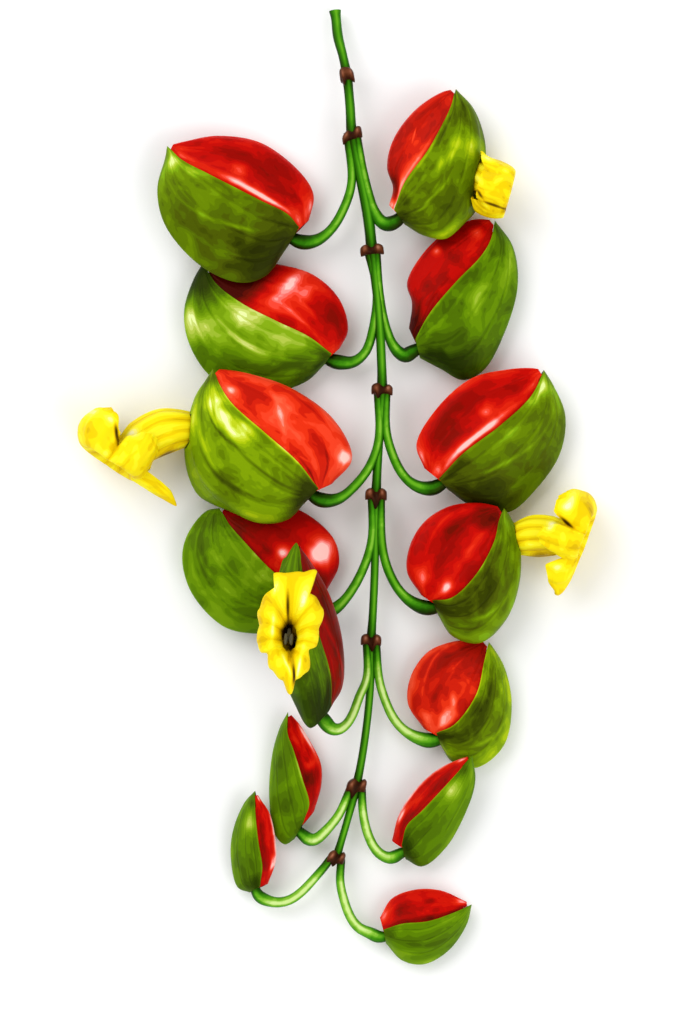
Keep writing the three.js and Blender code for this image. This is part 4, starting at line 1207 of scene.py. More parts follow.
@dataclass(frozen=True)
class Dress:
    """How one bract is coloured: its finish, its own middle level on the finish's colours, and its marks."""

    finish: Finish
    level: float
    marks: tuple[Mark, ...]

    def tone(self, along: Floats, across: Floats) -> Floats:
        """Find the tone level at points of the bract, by how far along and across it they lie."""
        return self.level + sum(mark.at(along, across) for mark in self.marks)


@dataclass(frozen=True)
class Look:
    """The dresses of one or more pods that are coloured alike."""

    pods: tuple[str, ...]
    green: Dress
    red: Dress


# Each row is a mark: its place along and across, its reach both ways, its tone, its lean and its edge
# The marks paint highlights, shade and the shadows cast by neighbouring pods, besides the blades' own
# blotches
LOOKS = (
    Look(
        ("left_1", "right_3"),
        Dress(OLIVE_SKIN, 0.45, marks(
            (7, 48, 30, 60, -18, 0, 50), (16, 69, 16, 21, -10), (30, 60, 9, 8.3, -8), (48, 67, 7, 7.3, -7),
            (62, 62, 10, 6.2, -5), (94, 47, 16, 80, 10), (58, 17, 14, 8.4, 12), (81, 12, 14, 10, 20, 50),
            (90, 34, 5, 24, 16), (83, 85, 5, 8.7, 10), (52, 50, 28, 2.3, 15, 60), (36, 40, 10, 2.1, 16, 35),
            (42, 74, 17, 1.9, 12, 28), (55, 78, 12, 3.1, -12, 15), (33, 85, 12, 5.2, -12),
            (90, 55, 4, 50, 12), (20, 85, 20, 20, -10),
        )),
        Dress(RED_SKIN, 0.49, marks(
            (32, 61, 17, 32, -15, 40, 60), (63, 70, 17, 18, -12), (72, 40, 14, 15, -4), (53, 41, 6, 14, 14),
            (53, 38, 3, 6.7, 8), (36, 16, 22, 5.3, 26), (40, 18, 32, 9.6, 12), (8, 87, 4, 8.2, 20),
            (5, 31, 3.5, 11, 11), (86, 28, 6, 8.8, 20), (50, 102, 50, 9.2, 14), (5, 57, 10, 65, 12),
            (95, 52, 8, 60, 10), (36, 16, 24, 5, 20),
        )),
    ),
    Look(
        ("left_2",),
        Dress(LEAF_SKIN, 0.44, marks(
            (95, 46, 12, 90, -34, 0, 60), (81, 26, 8, 50, -14, 40), (75, 86, 9, 15, 34),
            (67, 59, 7, 23, 24, 80), (42, 16, 32, 22, 16, 0, 50), (45, 12, 20, 8.4, 6),
            (60, 18, 7, 15, 10, 100), (47, 43, 16, 3.6, 30), (50, 48, 16, 1.7, -14), (48, 37, 13, 1.5, -16),
            (42, 27, 5, 3.1, -14), (24, 2, 20, 2.8, 20), (35, 65, 15, 10, -10), (50, 74, 20, 3.1, 8, 20),
            (10, 77, 10, 18, -18), (22, 49, 12, 10, -8), (3, 45, 5, 60, -12), (55, 36, 30, 36, 10, 0, 50),
        )),
        Dress(RED_SKIN, 0.52, marks(
            (20, 63, 16, 30, -16), (16, 36, 10, 9.2, -8), (50, 72, 3.5, 34, 26),
            (46, 62, 10, 50, 14, 0, 50), (31, 27, 18, 3.2, 18, 50), (28, 46, 10, 4.1, 13, 70),
            (40, 72, 3, 13, 12), (37, 14, 22, 4.6, -8), (70, 55, 10, 80, -28, 0, 60),
            (85, 44, 14, 80, -40, 0, 60), (2, 66, 4, 50, 12),
        )),
    ),
    Look(
        ("left_3",),
        Dress(LIME_SKIN, 0.43, marks(
            (0, 52, 13, 50, -34, 0, 50), (9, 30, 10, 23, -10), (80, 35, 12, 40, 20, 0, 45),
            (62, 23, 14, 16, 24, 50, 45), (60, 31, 4.5, 6.5, 16, 60), (81, 23, 2.8, 15, 18),
            (81, 49, 3.5, 7.9, 14), (33, 39, 20, 1.5, -24), (66, 48, 15, 1.8, -26, 75),
            (45, 78, 18, 2.4, -22, 30), (33, 71, 11, 1.5, -18, 35), (27, 93, 10, 6.5, 22),
            (31, 0, 28, 1.8, 22), (73, 0, 20, 3, 14), (77, 92, 6, 9, 24), (65, 76, 10, 6.7, 12, 60),
            (94, 43, 3, 60, -12), (70, 30, 7, 6, 20), (58, 12, 5, 6, 16),
        )),
        Dress(FLAME_SKIN, 0.53, marks(
            (17, 86, 3, 12, 26), (14, 77, 7, 24, 10), (16, 52, 10, 1.7, -24, 90),
            (53, 47, 15, 4.6, 16, 200), (60, 72, 3, 12, 16), (27, 34, 20, 6.1, 12, 30),
            (36, 55, 12, 11, -8), (72, 48, 8, 30, -6), (50, 88, 20, 1.8, -8, 20), (82, 31, 3, 11, 22),
            (11, 13, 12, 2.6, -30), (50, 99, 45, 5.4, 8), (54, 58, 5, 24, 16, 60), (17, 86, 5, 10, 18),
            (83, 24, 4, 14, 14),
        )),
    ),
    Look(
        ("left_4",),
        Dress(LEAF_SKIN, 0.5, marks(
            (89, 39, 7, 36, -14), (70, 67, 16, 6.3, -10), (62, 23, 10, 14, -7), (55, 64, 24, 2.1, 10, 50),
            (50, 38, 26, 2.2, 10, 35), (55, 86, 16, 3.2, 6), (45, 15, 15, 8.6, 12), (61, 2, 32, 1.4, 12),
            (97, 50, 2.5, 60, 14), (10, 57, 14, 50, -14),
        )),
        Dress(RED_SKIN, 0.39, marks(
            (9, 45, 14, 34, -28, 0, 50), (28, 77, 11, 27, 20, 0, 50), (30, 75, 4.5, 15, 26),
            (45, 35, 4, 11, 30), (45, 35, 8, 18, 12), (71, 37, 22, 50, -14, 0, 60), (45, 14, 30, 4.8, 8),
            (28, 72, 7, 20, 20), (42, 30, 5, 10, 12),
        )),
    ),
    Look(
        ("left_5",),
        Dress(LEAF_SKIN, 0.38, marks(
            (1, 31, 8, 33, -30), (20, 73, 15, 14, -6), (18, 0, 30, 6, 12, 40), (24, 40, 12, 18, 6),
            (12, 60, 16, 60, -22, 0, 60), (28, 35, 10, 10, 6),
        )),
        Dress(RED_SKIN, 0.24, marks(
            (31, 59, 25, 5.4, 20, -120), (50, 54, 20, 12, -10), (83, 100, 6, 30, 16), (42, 93, 40, 8.4, 12),
        )),
    ),
    Look(
        ("left_6",),
        Dress(BUD_SKIN, 0.44, marks(
            (1, 36, 13, 45, -12), (28, 52, 6, 17, -10), (43, 57, 3.5, 30, 9), (62, 54, 6, 22, -4),
            (49, 2, 22, 2.8, 20), (50, 98, 50, 6.8, 8), (95, 42, 6, 60, 8),
        )),
        Dress(RED_SKIN, 0.44, marks(
            (38, 55, 9, 45, -16), (54, 26, 22, 8, -10), (48, 59, 3.5, 30, 14), (74, 54, 9, 45, 12),
            (70, 93, 20, 7.9, 24), (35, 96, 10, 5, 16), (30, 40, 14, 24, -12, 0, 50), (70, 95, 14, 14, 20),
        )),
    ),
    Look(
        ("left_7", "right_6"),
        Dress(BUD_SKIN, 0.43, marks(
            (3, 31, 9, 45, -14), (30, 44, 12, 30, -5), (64, 28, 11, 27, 11), (67, 28, 5, 17, 7),
            (87, 25, 4, 26, -12), (86, 75, 6, 11, 13), (40, 95, 13, 5.8, 14), (78, 89, 7, 6.5, 12),
            (40, 0, 35, 3, 6), (70, 30, 9, 26, 14, 0, 50), (8, 40, 10, 50, -10),
        )),
        Dress(RED_SKIN, 0.49, marks(
            (20, 81, 11, 12, 20), (45, 64, 9, 36, 6), (50, 98, 50, 5.8, 22), (33, 36, 22, 16, -14),
            (62, 39, 17, 17, -15), (92, 72, 5, 23, 26), (23, 88, 7, 14, 16, 0, 50), (90, 80, 5, 24, 16),
            (50, 100, 30, 10, 14),
        )),
    ),
    Look(
        ("right_1",),
        Dress(LIME_SKIN, 0.35, marks(
            (3, 58, 11, 35, -20), (30, 76, 12, 16, -12), (20, 25, 16, 8.3, -8), (75, 21, 8, 18, -10),
            (87, 54, 5, 34, -12), (67, 73, 8, 24, 22), (66, 78, 3.5, 11, 16), (59, 42, 10, 13, 20, 50),
            (57, 43, 4, 5.4, 14), (49, 30, 6, 7.3, 20), (24, 95, 8, 6, 24), (26, 45, 14, 2, 16, -30),
            (36, 49, 12, 1.5, 16, 50), (30, 85, 15, 2, -10), (42, 3, 36, 2.5, 19),
        )),
        Dress(FLAME_SKIN, 0.41, marks(
            (17, 79, 8, 34, -24), (30, 51, 11, 10, -8), (70, 73, 16, 9.1, -10), (80, 45, 6, 30, -12),
            (14, 27, 22, 9.2, 30), (42, 18, 18, 5.7, 22), (1, 69, 4.5, 70, 26), (55, 59, 5, 1.8, 22, 120),
            (55, 45, 12, 9.2, 5), (50, 100, 50, 4.6, 12), (30, 17, 26, 7, 14, -10), (3, 60, 3, 40, 14),
        )),
    ),
    Look(
        ("right_2",),
        Dress(LEAF_SKIN, 0.43, marks(
            (14, 80, 17, 23, -26, 0, 50), (24, 64, 15, 17, -14), (7, 35, 10, 30, -6), (52, 41, 9, 9.7, 12),
            (40, 65, 6, 11, 5), (71, 61, 7, 17, 11), (81, 84, 7, 12, 18), (66, 18, 6, 9, -10),
            (77, 24, 5, 6.8, -8), (50, 24, 12, 4.3, -5), (39, 0, 36, 1.5, 12), (94, 41, 3, 40, -8),
            (55, 40, 16, 12, 6), (80, 90, 10, 12, 8),
        )),
        Dress(RED_SKIN, 0.38, marks(
            (3, 66, 16, 80, -32, 0, 60), (35, 48, 3.5, 30, -8), (60, 43, 3, 32, -10), (46, 35, 4, 14, -6),
            (56, 83, 3, 8.7, 20), (81, 55, 5, 19, 18), (72, 34, 5, 12, 12, -100), (50, 99, 40, 4.5, 14),
            (93, 55, 4, 40, 8), (83, 56, 5, 14, 18), (56, 80, 3, 8, 14),
        )),
    ),
    Look(
        ("right_4",),
        Dress(OLIVE_SKIN, 0.45, marks(
            (34, 31, 30, 26, -18, 0, 50), (24, 25, 15, 13, -6), (20, 73, 11, 10, -10),
            (50, 95, 45, 8.3, 12), (36, 66, 17, 3.7, 14, 90), (8, 79, 9, 29, 10), (1, 24, 9, 40, -24),
            (93, 54, 12, 70, 10), (71, 64, 5, 10, 10), (70, 25, 6, 10, -7), (39, 0, 36, 1.5, 14),
            (20, 90, 10, 14, 8), (70, 80, 10, 20, 8),
        )),
        Dress(RED_SKIN, 0.44, marks(
            (83, 44, 13, 34, -24, 0, 50), (60, 68, 17, 11, -16), (35, 52, 12, 8.6, -13),
            (55, 30, 22, 4.3, 10, 10), (48, 81, 20, 1.9, 10, 40), (50, 58, 16, 1.5, 8, 30),
            (21, 25, 11, 11, 12), (22, 25, 5, 6.9, 24), (17, 68, 6, 16, 12), (50, 99, 50, 5.8, 14),
            (5, 55, 6, 50, 8), (20, 25, 5, 8, 20), (20, 65, 5, 14, 12), (60, 28, 14, 5, 10),
        )),
    ),
    Look(
        ("right_5",),
        Dress(LIME_SKIN, 0.41, marks(
            (33, 30, 30, 25, -18, 0, 50), (24, 25, 15, 13, -6), (20, 73, 11, 11, -8), (60, 93, 40, 11, 16),
            (36, 68, 17, 3.8, 14, 90), (6, 80, 9, 31, 12), (0, 24, 9, 40, -26), (94, 50, 10, 70, 16),
            (71, 65, 5, 11, 14), (64, 32, 16, 3.8, -12, 40), (39, 0, 36, 1.5, 16),
        )),
        Dress(FLAME_SKIN, 0.43, marks(
            (83, 47, 13, 40, -12, 0, 50), (60, 73, 17, 9.5, -14), (35, 55, 10, 7.4, -14),
            (50, 83, 20, 2.3, 14, 40), (61, 52, 14, 1.3, 12, 20), (21, 25, 10, 11, 34, 0, 50),
            (37, 28, 6, 4.8, 28, 100), (16, 67, 7, 17, 20), (40, 98, 40, 6.6, 20), (5, 58, 6, 60, 10),
        )),
    ),
    Look(
        ("right_7",),
        Dress(BUD_SKIN, 0.48, marks(
            (45, 59, 26, 6.5, -10, 50), (35, 40, 20, 13, -5), (4, 18, 9, 34, -12), (12, 83, 12, 17, 12),
            (38, 95, 11, 6.5, 16), (58, 20, 20, 6.5, 7), (93, 73, 5, 30, 6),
        )),
        Dress(RED_SKIN, 0.47, marks(
            (28, 55, 9, 19, -16, 60), (57, 65, 5, 7, -18), (60, 36, 6, 11, -16), (50, 15, 55, 8.2, -24),
            (10, 88, 11, 18, 16), (91, 73, 7, 26, 22), (50, 100, 40, 4.6, 14), (5, 85, 5, 30, 16),
            (88, 80, 6, 20, 14), (28, 50, 12, 30, -5, 0, 50), (57, 66, 5, 7, -6),
        )),
    ),
)


@dataclass
class PodShape:
    """The shape of one pod: its seam, its frame, and how its two bracts lie in it."""

    pod: Pod

    def __post_init__(self) -> None:
        """Work out the pod's frame, as the solids have it."""
        pod = self.pod
        self.base = at(pod.base, pod.lift)
        self.flat_base = at(pod.base)
        self.flat_axis = unit(at(pod.tip) - self.flat_base)
        self.axis = unit(at(pod.tip, pod.lift + pod.rise) - self.base)
        towards = at(pod.green[len(pod.green) // 2]) - self.flat_base
        self.side = unit(towards - self.flat_axis * towards.dot(self.flat_axis))
        up = np.cross(self.axis, self.side)
        up = unit(-up if up[2] < 0 else up)
        roll = math.radians(pod.roll)
        self.green = self.side * math.cos(roll) + up * math.sin(roll)
        self.outward = up * math.cos(roll) - self.side * math.sin(roll)
        self.seam = Line([at(px) for px in (pod.base, *pod.seam, pod.tip)])
        self.seed = float(len(pod.name)) + sum(map(ord, pod.name)) % 17  # a number that varies the colouring

    def placed(self, flat: Floats, high: Floats) -> Floats:
        """Find places of the part.

        Args:
            flat: Points of the pod as if it lay flat in the picture.
            high: How far each is above the pod's middle plane.

        Returns:
            The places in millimetres.
        """
        offset = flat - self.flat_base
        lengthwise = (offset @ self.flat_axis)[..., None] * self.axis
        sideways = (offset @ self.side)[..., None] * self.green
        return self.base + lengthwise + sideways + np.asarray(high)[..., None] * self.outward

    def foot(self) -> tuple[Floats, Floats]:
        """Find where the stalk goes in, and the way in, square to the foot's edge."""
        middle = (at(self.pod.base) + at(self.pod.green[0])) / 2
        centre = self.placed(middle, 0.0)
        inward = self.placed(middle + self.flat_axis, 0.0) - centre
        edge = unit(self.placed(at(self.pod.green[0]), 0.0) - centre)
        return centre, unit(inward - edge * inward.dot(edge))

    def half_thickness(self, u: Floats) -> Floats:
        """Find half the pod's thickness at its seam, from the base at 0 to the tip at 1."""
        taper_begins, taper_ends = 2.2, 0.7  # how late it begins to taper, and how round the tip is
        start = min(FOOT_HALF, self.pod.half * FOOT_SHARE)
        swell = mixed(start, self.pod.half, np.sin(np.pi / 2 * np.minimum(1, u / THICKEST)))
        taper = 1 - np.maximum(0, (u - THICKEST) / (1 - THICKEST)) ** taper_begins
        return swell * np.maximum(0, taper) ** taper_ends


@dataclass
class Bract:
    """One bract: a blade folded round its pod's outer edge, open along the seam and at the stalk."""

    shape: PodShape
    side: Side
    dress: Dress
    pillow: float = 0.05  # how far the blade swells between its veins, in millimetres
    pillows: float = 1.7  # how many such swellings there are from the seam to the outer edge
    rows: int = 80
    front: int = 48
    behind: int = 12
    crowding: float = 0.6  # how far the rows crowd towards the base and the tip
    tip_begins: float = 0.9  # how far along a red bract begins to stay behind the green one's tip
    least: float = 0.01  # the least half width, in millimetres, from which a wall's thickness is taken

    def section(self, outline: Line, wall: float) -> tuple[Floats, ...]:
        """Work out what each row of the blade needs, from the base to the tip.

        Args:
            outline: The blade's outer edge.
            wall: How far the face is inside the outer one.

        Returns:
            For each row its share of the length, the middle of its fold, the way out from there, the width
            and the height inside the wall, and how far it laps over the other bract.
        """
        green, seam = self.side is Side.GREEN, self.shape.seam
        even = np.arange(self.rows + 1) / self.rows
        u = mixed(even, (1 - np.cos(np.pi * even)) / 2, self.crowding)
        back = 0 if green else RED_TIP_BACK * smoothstep(u, self.tip_begins, 1)
        reach = u * (1 - (wall + back) / seam.length)
        ahead = seam.ahead(reach)
        normal = unit(np.stack([-ahead[:, 1], ahead[:, 0], 0 * reach], -1))
        greenward = normal * np.where(normal @ self.shape.side < 0, -1.0, 1.0)[:, None]
        full = self.shape.half_thickness(reach)
        lap = LIP * smoothstep(full, LIP_BEGINS, LIP_FULL)
        middle = seam.by_length(reach) + greenward * (lap - (0 if green else SEAM_ROOM))[:, None]
        out = outline.by_length(reach) - middle
        tucked = (full - inside(full, GREEN_WALL) + SEAM_ROOM) * smoothstep(full, TUCK_BEGINS, TUCK_FULL)
        sizes = [np.linalg.norm(out, axis=1), full if green else full - tucked]
        if wall > 0:
            sizes = [inside(np.maximum(size, self.least), wall) for size in sizes]
        return reach, middle, unit(out), *sizes, lap if green else 0 * lap

    def grid(self, wall: float) -> tuple[Floats, Floats, Floats]:
        """Work out one face of the blade.

        Args:
            wall: How far it is inside the outer face.

        Returns:
            Its points, rows by columns, and how far along and across each lies; across runs on past 1
            round the edge to 2 at the back of the seam.
        """
        pod, green = self.shape.pod, self.side is Side.GREEN
        outline = Line([at(px) for px in (*(pod.green if green else pod.red), pod.tip)])
        rows = self.section(outline, wall)
        far, middle, out, width, high, lip = (values.reshape(len(values), 1, -1) for values in rows)
        far, width, high, lip = (values[..., 0] for values in (far, width, high, lip))
        columns = [np.linspace(0, 1, self.front + 1), 1 + np.linspace(0, 1, self.behind + 1)[1:]]
        turn = np.pi / 2 * np.concatenate(columns)[None, :]
        share, upright = np.sin(turn), np.cos(turn)
        back = turn > np.pi / 2
        swell = np.sin(np.pi * far) ** 0.7

        across = -lip + (width + lip) * share
        power = np.where(back & (pod.lift < pod.half), RESTING_EDGE, pod.edge)
        height = high * powered(upright, mixed(KEEN_EDGE, power, np.sin(np.pi * far) ** 0.5))
        bulge = np.abs(np.sin(np.pi * (self.pillows * share + 0.5))) ** 0.7 - 0.6
        height = height + self.pillow * bulge * swell * share * powered(upright, 0.3)
        if not green:
            dish = np.sin(np.pi * np.clip(across / width, 0, 1)) ** 2
            height = height - np.where(back, 0, pod.hollow * swell * dish)
        if pod.flare and green:
            flare = pod.flare * swell * smoothstep(far, 0.25, 0.5) * np.sin(2 * (turn - np.pi / 2))
            across = across * np.where(back, 1 + flare, 1)
        points = self.shape.placed(middle + out * np.maximum(across, -lip)[..., None], height)
        points[..., 2] = np.maximum(points[..., 2], wall + (0 if green else SOLID_WALL + SOLID_SEAM))
        return points, far + 0 * turn, np.where(back, 2 - share, share) + 0 * far

    def build(self) -> Object:
        """Make the bract's mesh.

        Returns:
            The object.
        """
        red = self.side is Side.RED
        outer, along, across = self.grid(0.0)
        inner, _, _ = self.grid(RED_WALL if red else GREEN_WALL)
        seed = self.shape.seed + 40 * red
        sheet = Sheet(outer, inner, along, across, self.dress.tone(along, across), seed)
        return sheet.build(f"{self.side.value}_bract_skin_{self.shape.pod.name}")


# How a corolla's limb goes out, rolls back and turns in from throat to edge, as shares of what its rim does
LIMB = ((0.45, 0, 0), (0.8, 0.1, 0), (0.98, 0.42, 0), (1, 0.8, 0.3), (0.98, 1, 1))


@dataclass
class Corolla:
    """One open flower: a thin ribbed tube and a limb of five lobes that rolls back."""

    flower: Flower
    columns: int = 236
    rows: int = 78
    ribs: int = 10
    tube_rings: int = 5
    waves: int = 7  # how often the limb waves on its way round
    wave_turn: float = 2.1  # how far each row's waves are turned from those of the row before, in radians
    frills: tuple[tuple[float, int, float], ...] = ((0.22, 23, 1.3), (0.16, 41, 0))  # height, number and turn
    frill_begins: float = 1.4  # how far outside the throat the lobes' frill begins, in millimetres
    frill_full: float = 4.0
    thinning: float = 0.45  # how much thinner the limb's edge is than the tube
    # painted shade in the clefts between the lobes, and painted highlights on the tube's ribs with shade
    # between them
    cleft_shade: float = -0.12
    rib_shading: float = 0.07
    seed: float = 3.0

    def __post_init__(self) -> None:
        """Work out which way the flower faces, its tube's line and its whole rim."""
        flower = self.flower
        self.throat = flower.radii[-1]
        self.facing = unit(np.array(flower.facing, float))
        up = np.array(flower.up, float)
        self.up = unit(up - self.facing * up.dot(self.facing))
        self.right = np.cross(self.up, self.facing)
        self.face = at(flower.face, flower.face_height)
        self.route = Line([at(px, z) for px, z in zip(flower.tube, flower.heights)])
        steps = [(turn % 360, *rest) for turn, *rest in flower.rim]
        if flower.alike:
            others = [((180 - turn) % 360, *rest) for turn, *rest in steps]
            steps += [other for other in others if all(abs(step[0] - other[0]) >= 1 for step in steps)]
        self.rim = np.array(sorted(steps))

    def ring(self, t: float) -> tuple[Floats, Floats, float]:
        """Find a ring of the tube: its centre, the way ahead and its radius, at t from 0 to 1."""
        radius = float(eased(self.flower.radii, np.array([t]))[0])
        return self.route.by_share(t)[0], self.route.ahead_by_share(t)[0], radius

    def over(self, ahead: Floats) -> Floats:
        """Find the hood's side of the tube where it runs ahead."""
        return unit(self.up - ahead * self.up.dot(ahead))

    def rim_at(self, turn: Floats) -> Floats:
        """Find how far the rim reaches out, rolls back and curls in at each turn round the mouth.

        Args:
            turn: Turns in radians, from the flower's right.

        Returns:
            The three as rows, smooth from step to step of the rim.
        """
        degree = np.degrees(turn) % 360
        high = np.searchsorted(self.rim[:, 0], degree, side="right") % len(self.rim)
        low = (high - 1) % len(self.rim)
        gap = (self.rim[high, 0] - self.rim[low, 0]) % 360
        share = smoothstep((degree - self.rim[low, 0]) % 360 / gap, 0, 1)
        return mixed(self.rim[low, 1:], self.rim[high, 1:], share[:, None]).T

    def key_rows(self, turn: Floats) -> list[Floats]:
        """Work out the rows that give the flower its form, from the foot of the tube to the lobes' tips.

        Args:
            turn: The turns of the columns.

        Returns:
            The rows of points.
        """
        rows = []
        wide, high = self.flower.mouth
        rightward, upward = np.cos(turn)[:, None], np.sin(turn)[:, None]
        for i in range(self.tube_rings):
            t = i / (self.tube_rings - 1)
            centre, ahead, radius = self.ring(t)
            over = self.over(ahead)
            swell = math.sin(math.pi * i / self.tube_rings)
            bore = (radius + TUBE_RIB * swell * np.cos(self.ribs * turn))[:, None]
            across = mixed(1, wide, t**2) * np.cross(over, ahead) * rightward
            rows.append(centre + bore * (across + mixed(1, high, t**2) * over * upward))
        reach, back, curl = self.rim_at(turn)
        for row, (step_out, step_back, step_curl) in enumerate(LIMB):
            wave = self.flower.crumple * np.sin(self.waves * turn + self.wave_turn * row) * step_back
            far = reach - curl * step_curl + wave
            aside = self.right * rightward * mixed(wide * self.throat, far, step_out)[:, None]
            above = self.up * upward * mixed(high * self.throat, far, step_out)[:, None]
            rows.append(self.face + aside + above - self.facing * (back * step_back)[:, None])
        return rows

    def build(self) -> Object:
        """Make the flower's mesh.

        Returns:
            The object.
        """
        turn = 2 * np.pi * np.arange(self.columns) / self.columns
        t = np.linspace(0, 1, self.rows)
        grid = eased(self.key_rows(turn), t)
        mouth = self.tube_rings / (self.tube_rings + len(LIMB) - 1)
        limb = smoothstep(t, mouth, 1)[:, None]
        lobe = smoothstep(self.rim_at(turn)[0] - self.throat, self.frill_begins, self.frill_full)[None, :]
        sideways = (np.roll(grid, -1, 1) - np.roll(grid, 1, 1)) / 2
        normal = unit(np.cross(sideways, np.gradient(grid, axis=0)))
        frill = sum(high * np.sin(number * turn + ahead) for high, number, ahead in self.frills)
        depth = self.flower.crumple / 0.4  # the frills' heights are those of a limb that waves by 0.4 mm
        grid = grid + normal * (depth * frill * limb**2 * lobe)[..., None]
        half_wall = normal * (PETAL_WALL / 2 * (1 - self.thinning * limb))[..., None]
        along = np.broadcast_to(t[:, None], grid.shape[:2])
        around = np.broadcast_to(turn / (2 * np.pi), grid.shape[:2])
        # painted shade in the clefts and between the tube's ribs, painted highlights on the ribs, then the
        # spots' painted highlights and shade
        tone = self.cleft_shade * (1 - lobe) * limb + self.rib_shading * np.cos(self.ribs * turn) * (1 - limb)
        tone = tone + sum(spot.at(pictured(grid)) for spot in self.flower.spots)
        sheet = Sheet(grid + half_wall, grid - half_wall, along, around, tone, self.seed, wraps=True)
        return sheet.build(f"corolla_skin_{self.flower.pod}")

    def cutter(self) -> Object:
        """Make the solid that opens the pod for the tube."""
        centres, ahead, radii = map(np.array, zip(*(self.ring(float(t)) for t in np.linspace(0, 1, 14))))
        centres[0] -= ahead[0] * OPENING_DEPTH
        centres[-1] += ahead[-1] * OPENING_DEPTH
        points, faces, _ = Tube(centres, ahead, radii + OPENING_ROOM, 32, self.up).parts()
        skin = Skin(np.zeros((len(points), 3)), np.zeros(len(points)), np.ones(len(points)))
        return mesh_object("opening", points, faces, skin)


@dataclass
class Anthers:
    """Two anthers side by side on a thread that follows the tube's wall on the hood's side."""

    corolla: Corolla
    place: Point = (289, 638)
    height: float = 29.2
    apart: float = 0.62  # half the distance between their middles
    size: tuple[float, float, float] = (0.5, 1.4, 0.8)  # half of each one's width, length and depth
    bend: float = 0.12  # how far an anther's ends bend outwards
    thread: float = 0.42
    clear: float = 0.3  # room between the thread and the tube's ribs
    follows: float = 0.75  # how far along the tube the thread follows its wall
    sides: int = 24
    rows: int = 15
    seed: float = 2.0

    def bead(self, middle: Floats, side: int) -> tuple[Floats, Floats]:
        """Work out one anther.

        Args:
            middle: The place between the two.
            side: 1 for the one on the flower's right, -1 for the other.

        Returns:
            Its points, rows by columns, and how far along and around each lies.
        """
        corolla = self.corolla
        turns, falls = ball(self.sides, self.rows)
        x = self.size[0] * np.sin(falls) * np.cos(turns) + self.bend * np.cos(falls) ** 2 * side
        y = self.size[1] * np.cos(falls)
        z = self.size[2] * np.sin(falls) * np.sin(turns)
        ways = np.stack([corolla.right, corolla.up, corolla.facing])
        points = middle + corolla.right * side * self.apart + np.stack([x, y, z], -1) @ ways
        return points, np.stack([falls / np.pi, turns / (2 * np.pi)], -1)

    def build(self) -> Object:
        """Make the anthers and their thread as one mesh.

        Returns:
            The object.
        """
        corolla = self.corolla
        heart = at(self.place, self.height)
        inset = PETAL_WALL + TUBE_RIB + self.clear + self.thread
        centres = []
        for t in np.linspace(0, self.follows, 10):
            centre, ahead, radius = corolla.ring(float(t))
            centres.append(centre + corolla.over(ahead) * (radius - inset))
        route = Line([*centres, heart])
        t = np.linspace(0, 1, 24)
        tube = Tube(route.by_share(t), route.ahead_by_share(t), np.full(len(t), self.thread), 12, corolla.up)
        points, faces, lay = tube.parts()
        for side in (-1, 1):
            bead, bead_lay = self.bead(heart, side)
            number = len(points) + np.arange(self.rows * self.sides).reshape(self.rows, self.sides)
            faces += quads(wrapped(number)).tolist()
            points = np.concatenate([points, bead.reshape(-1, 3)])
            lay = np.concatenate([lay, bead_lay.reshape(-1, 2)])
        count = len(points)
        skin = Skin(np.hstack([lay, np.full((count, 1), self.seed)]), np.zeros(count), np.zeros(count))
        return mesh_object("anther_pair", points, faces, skin)


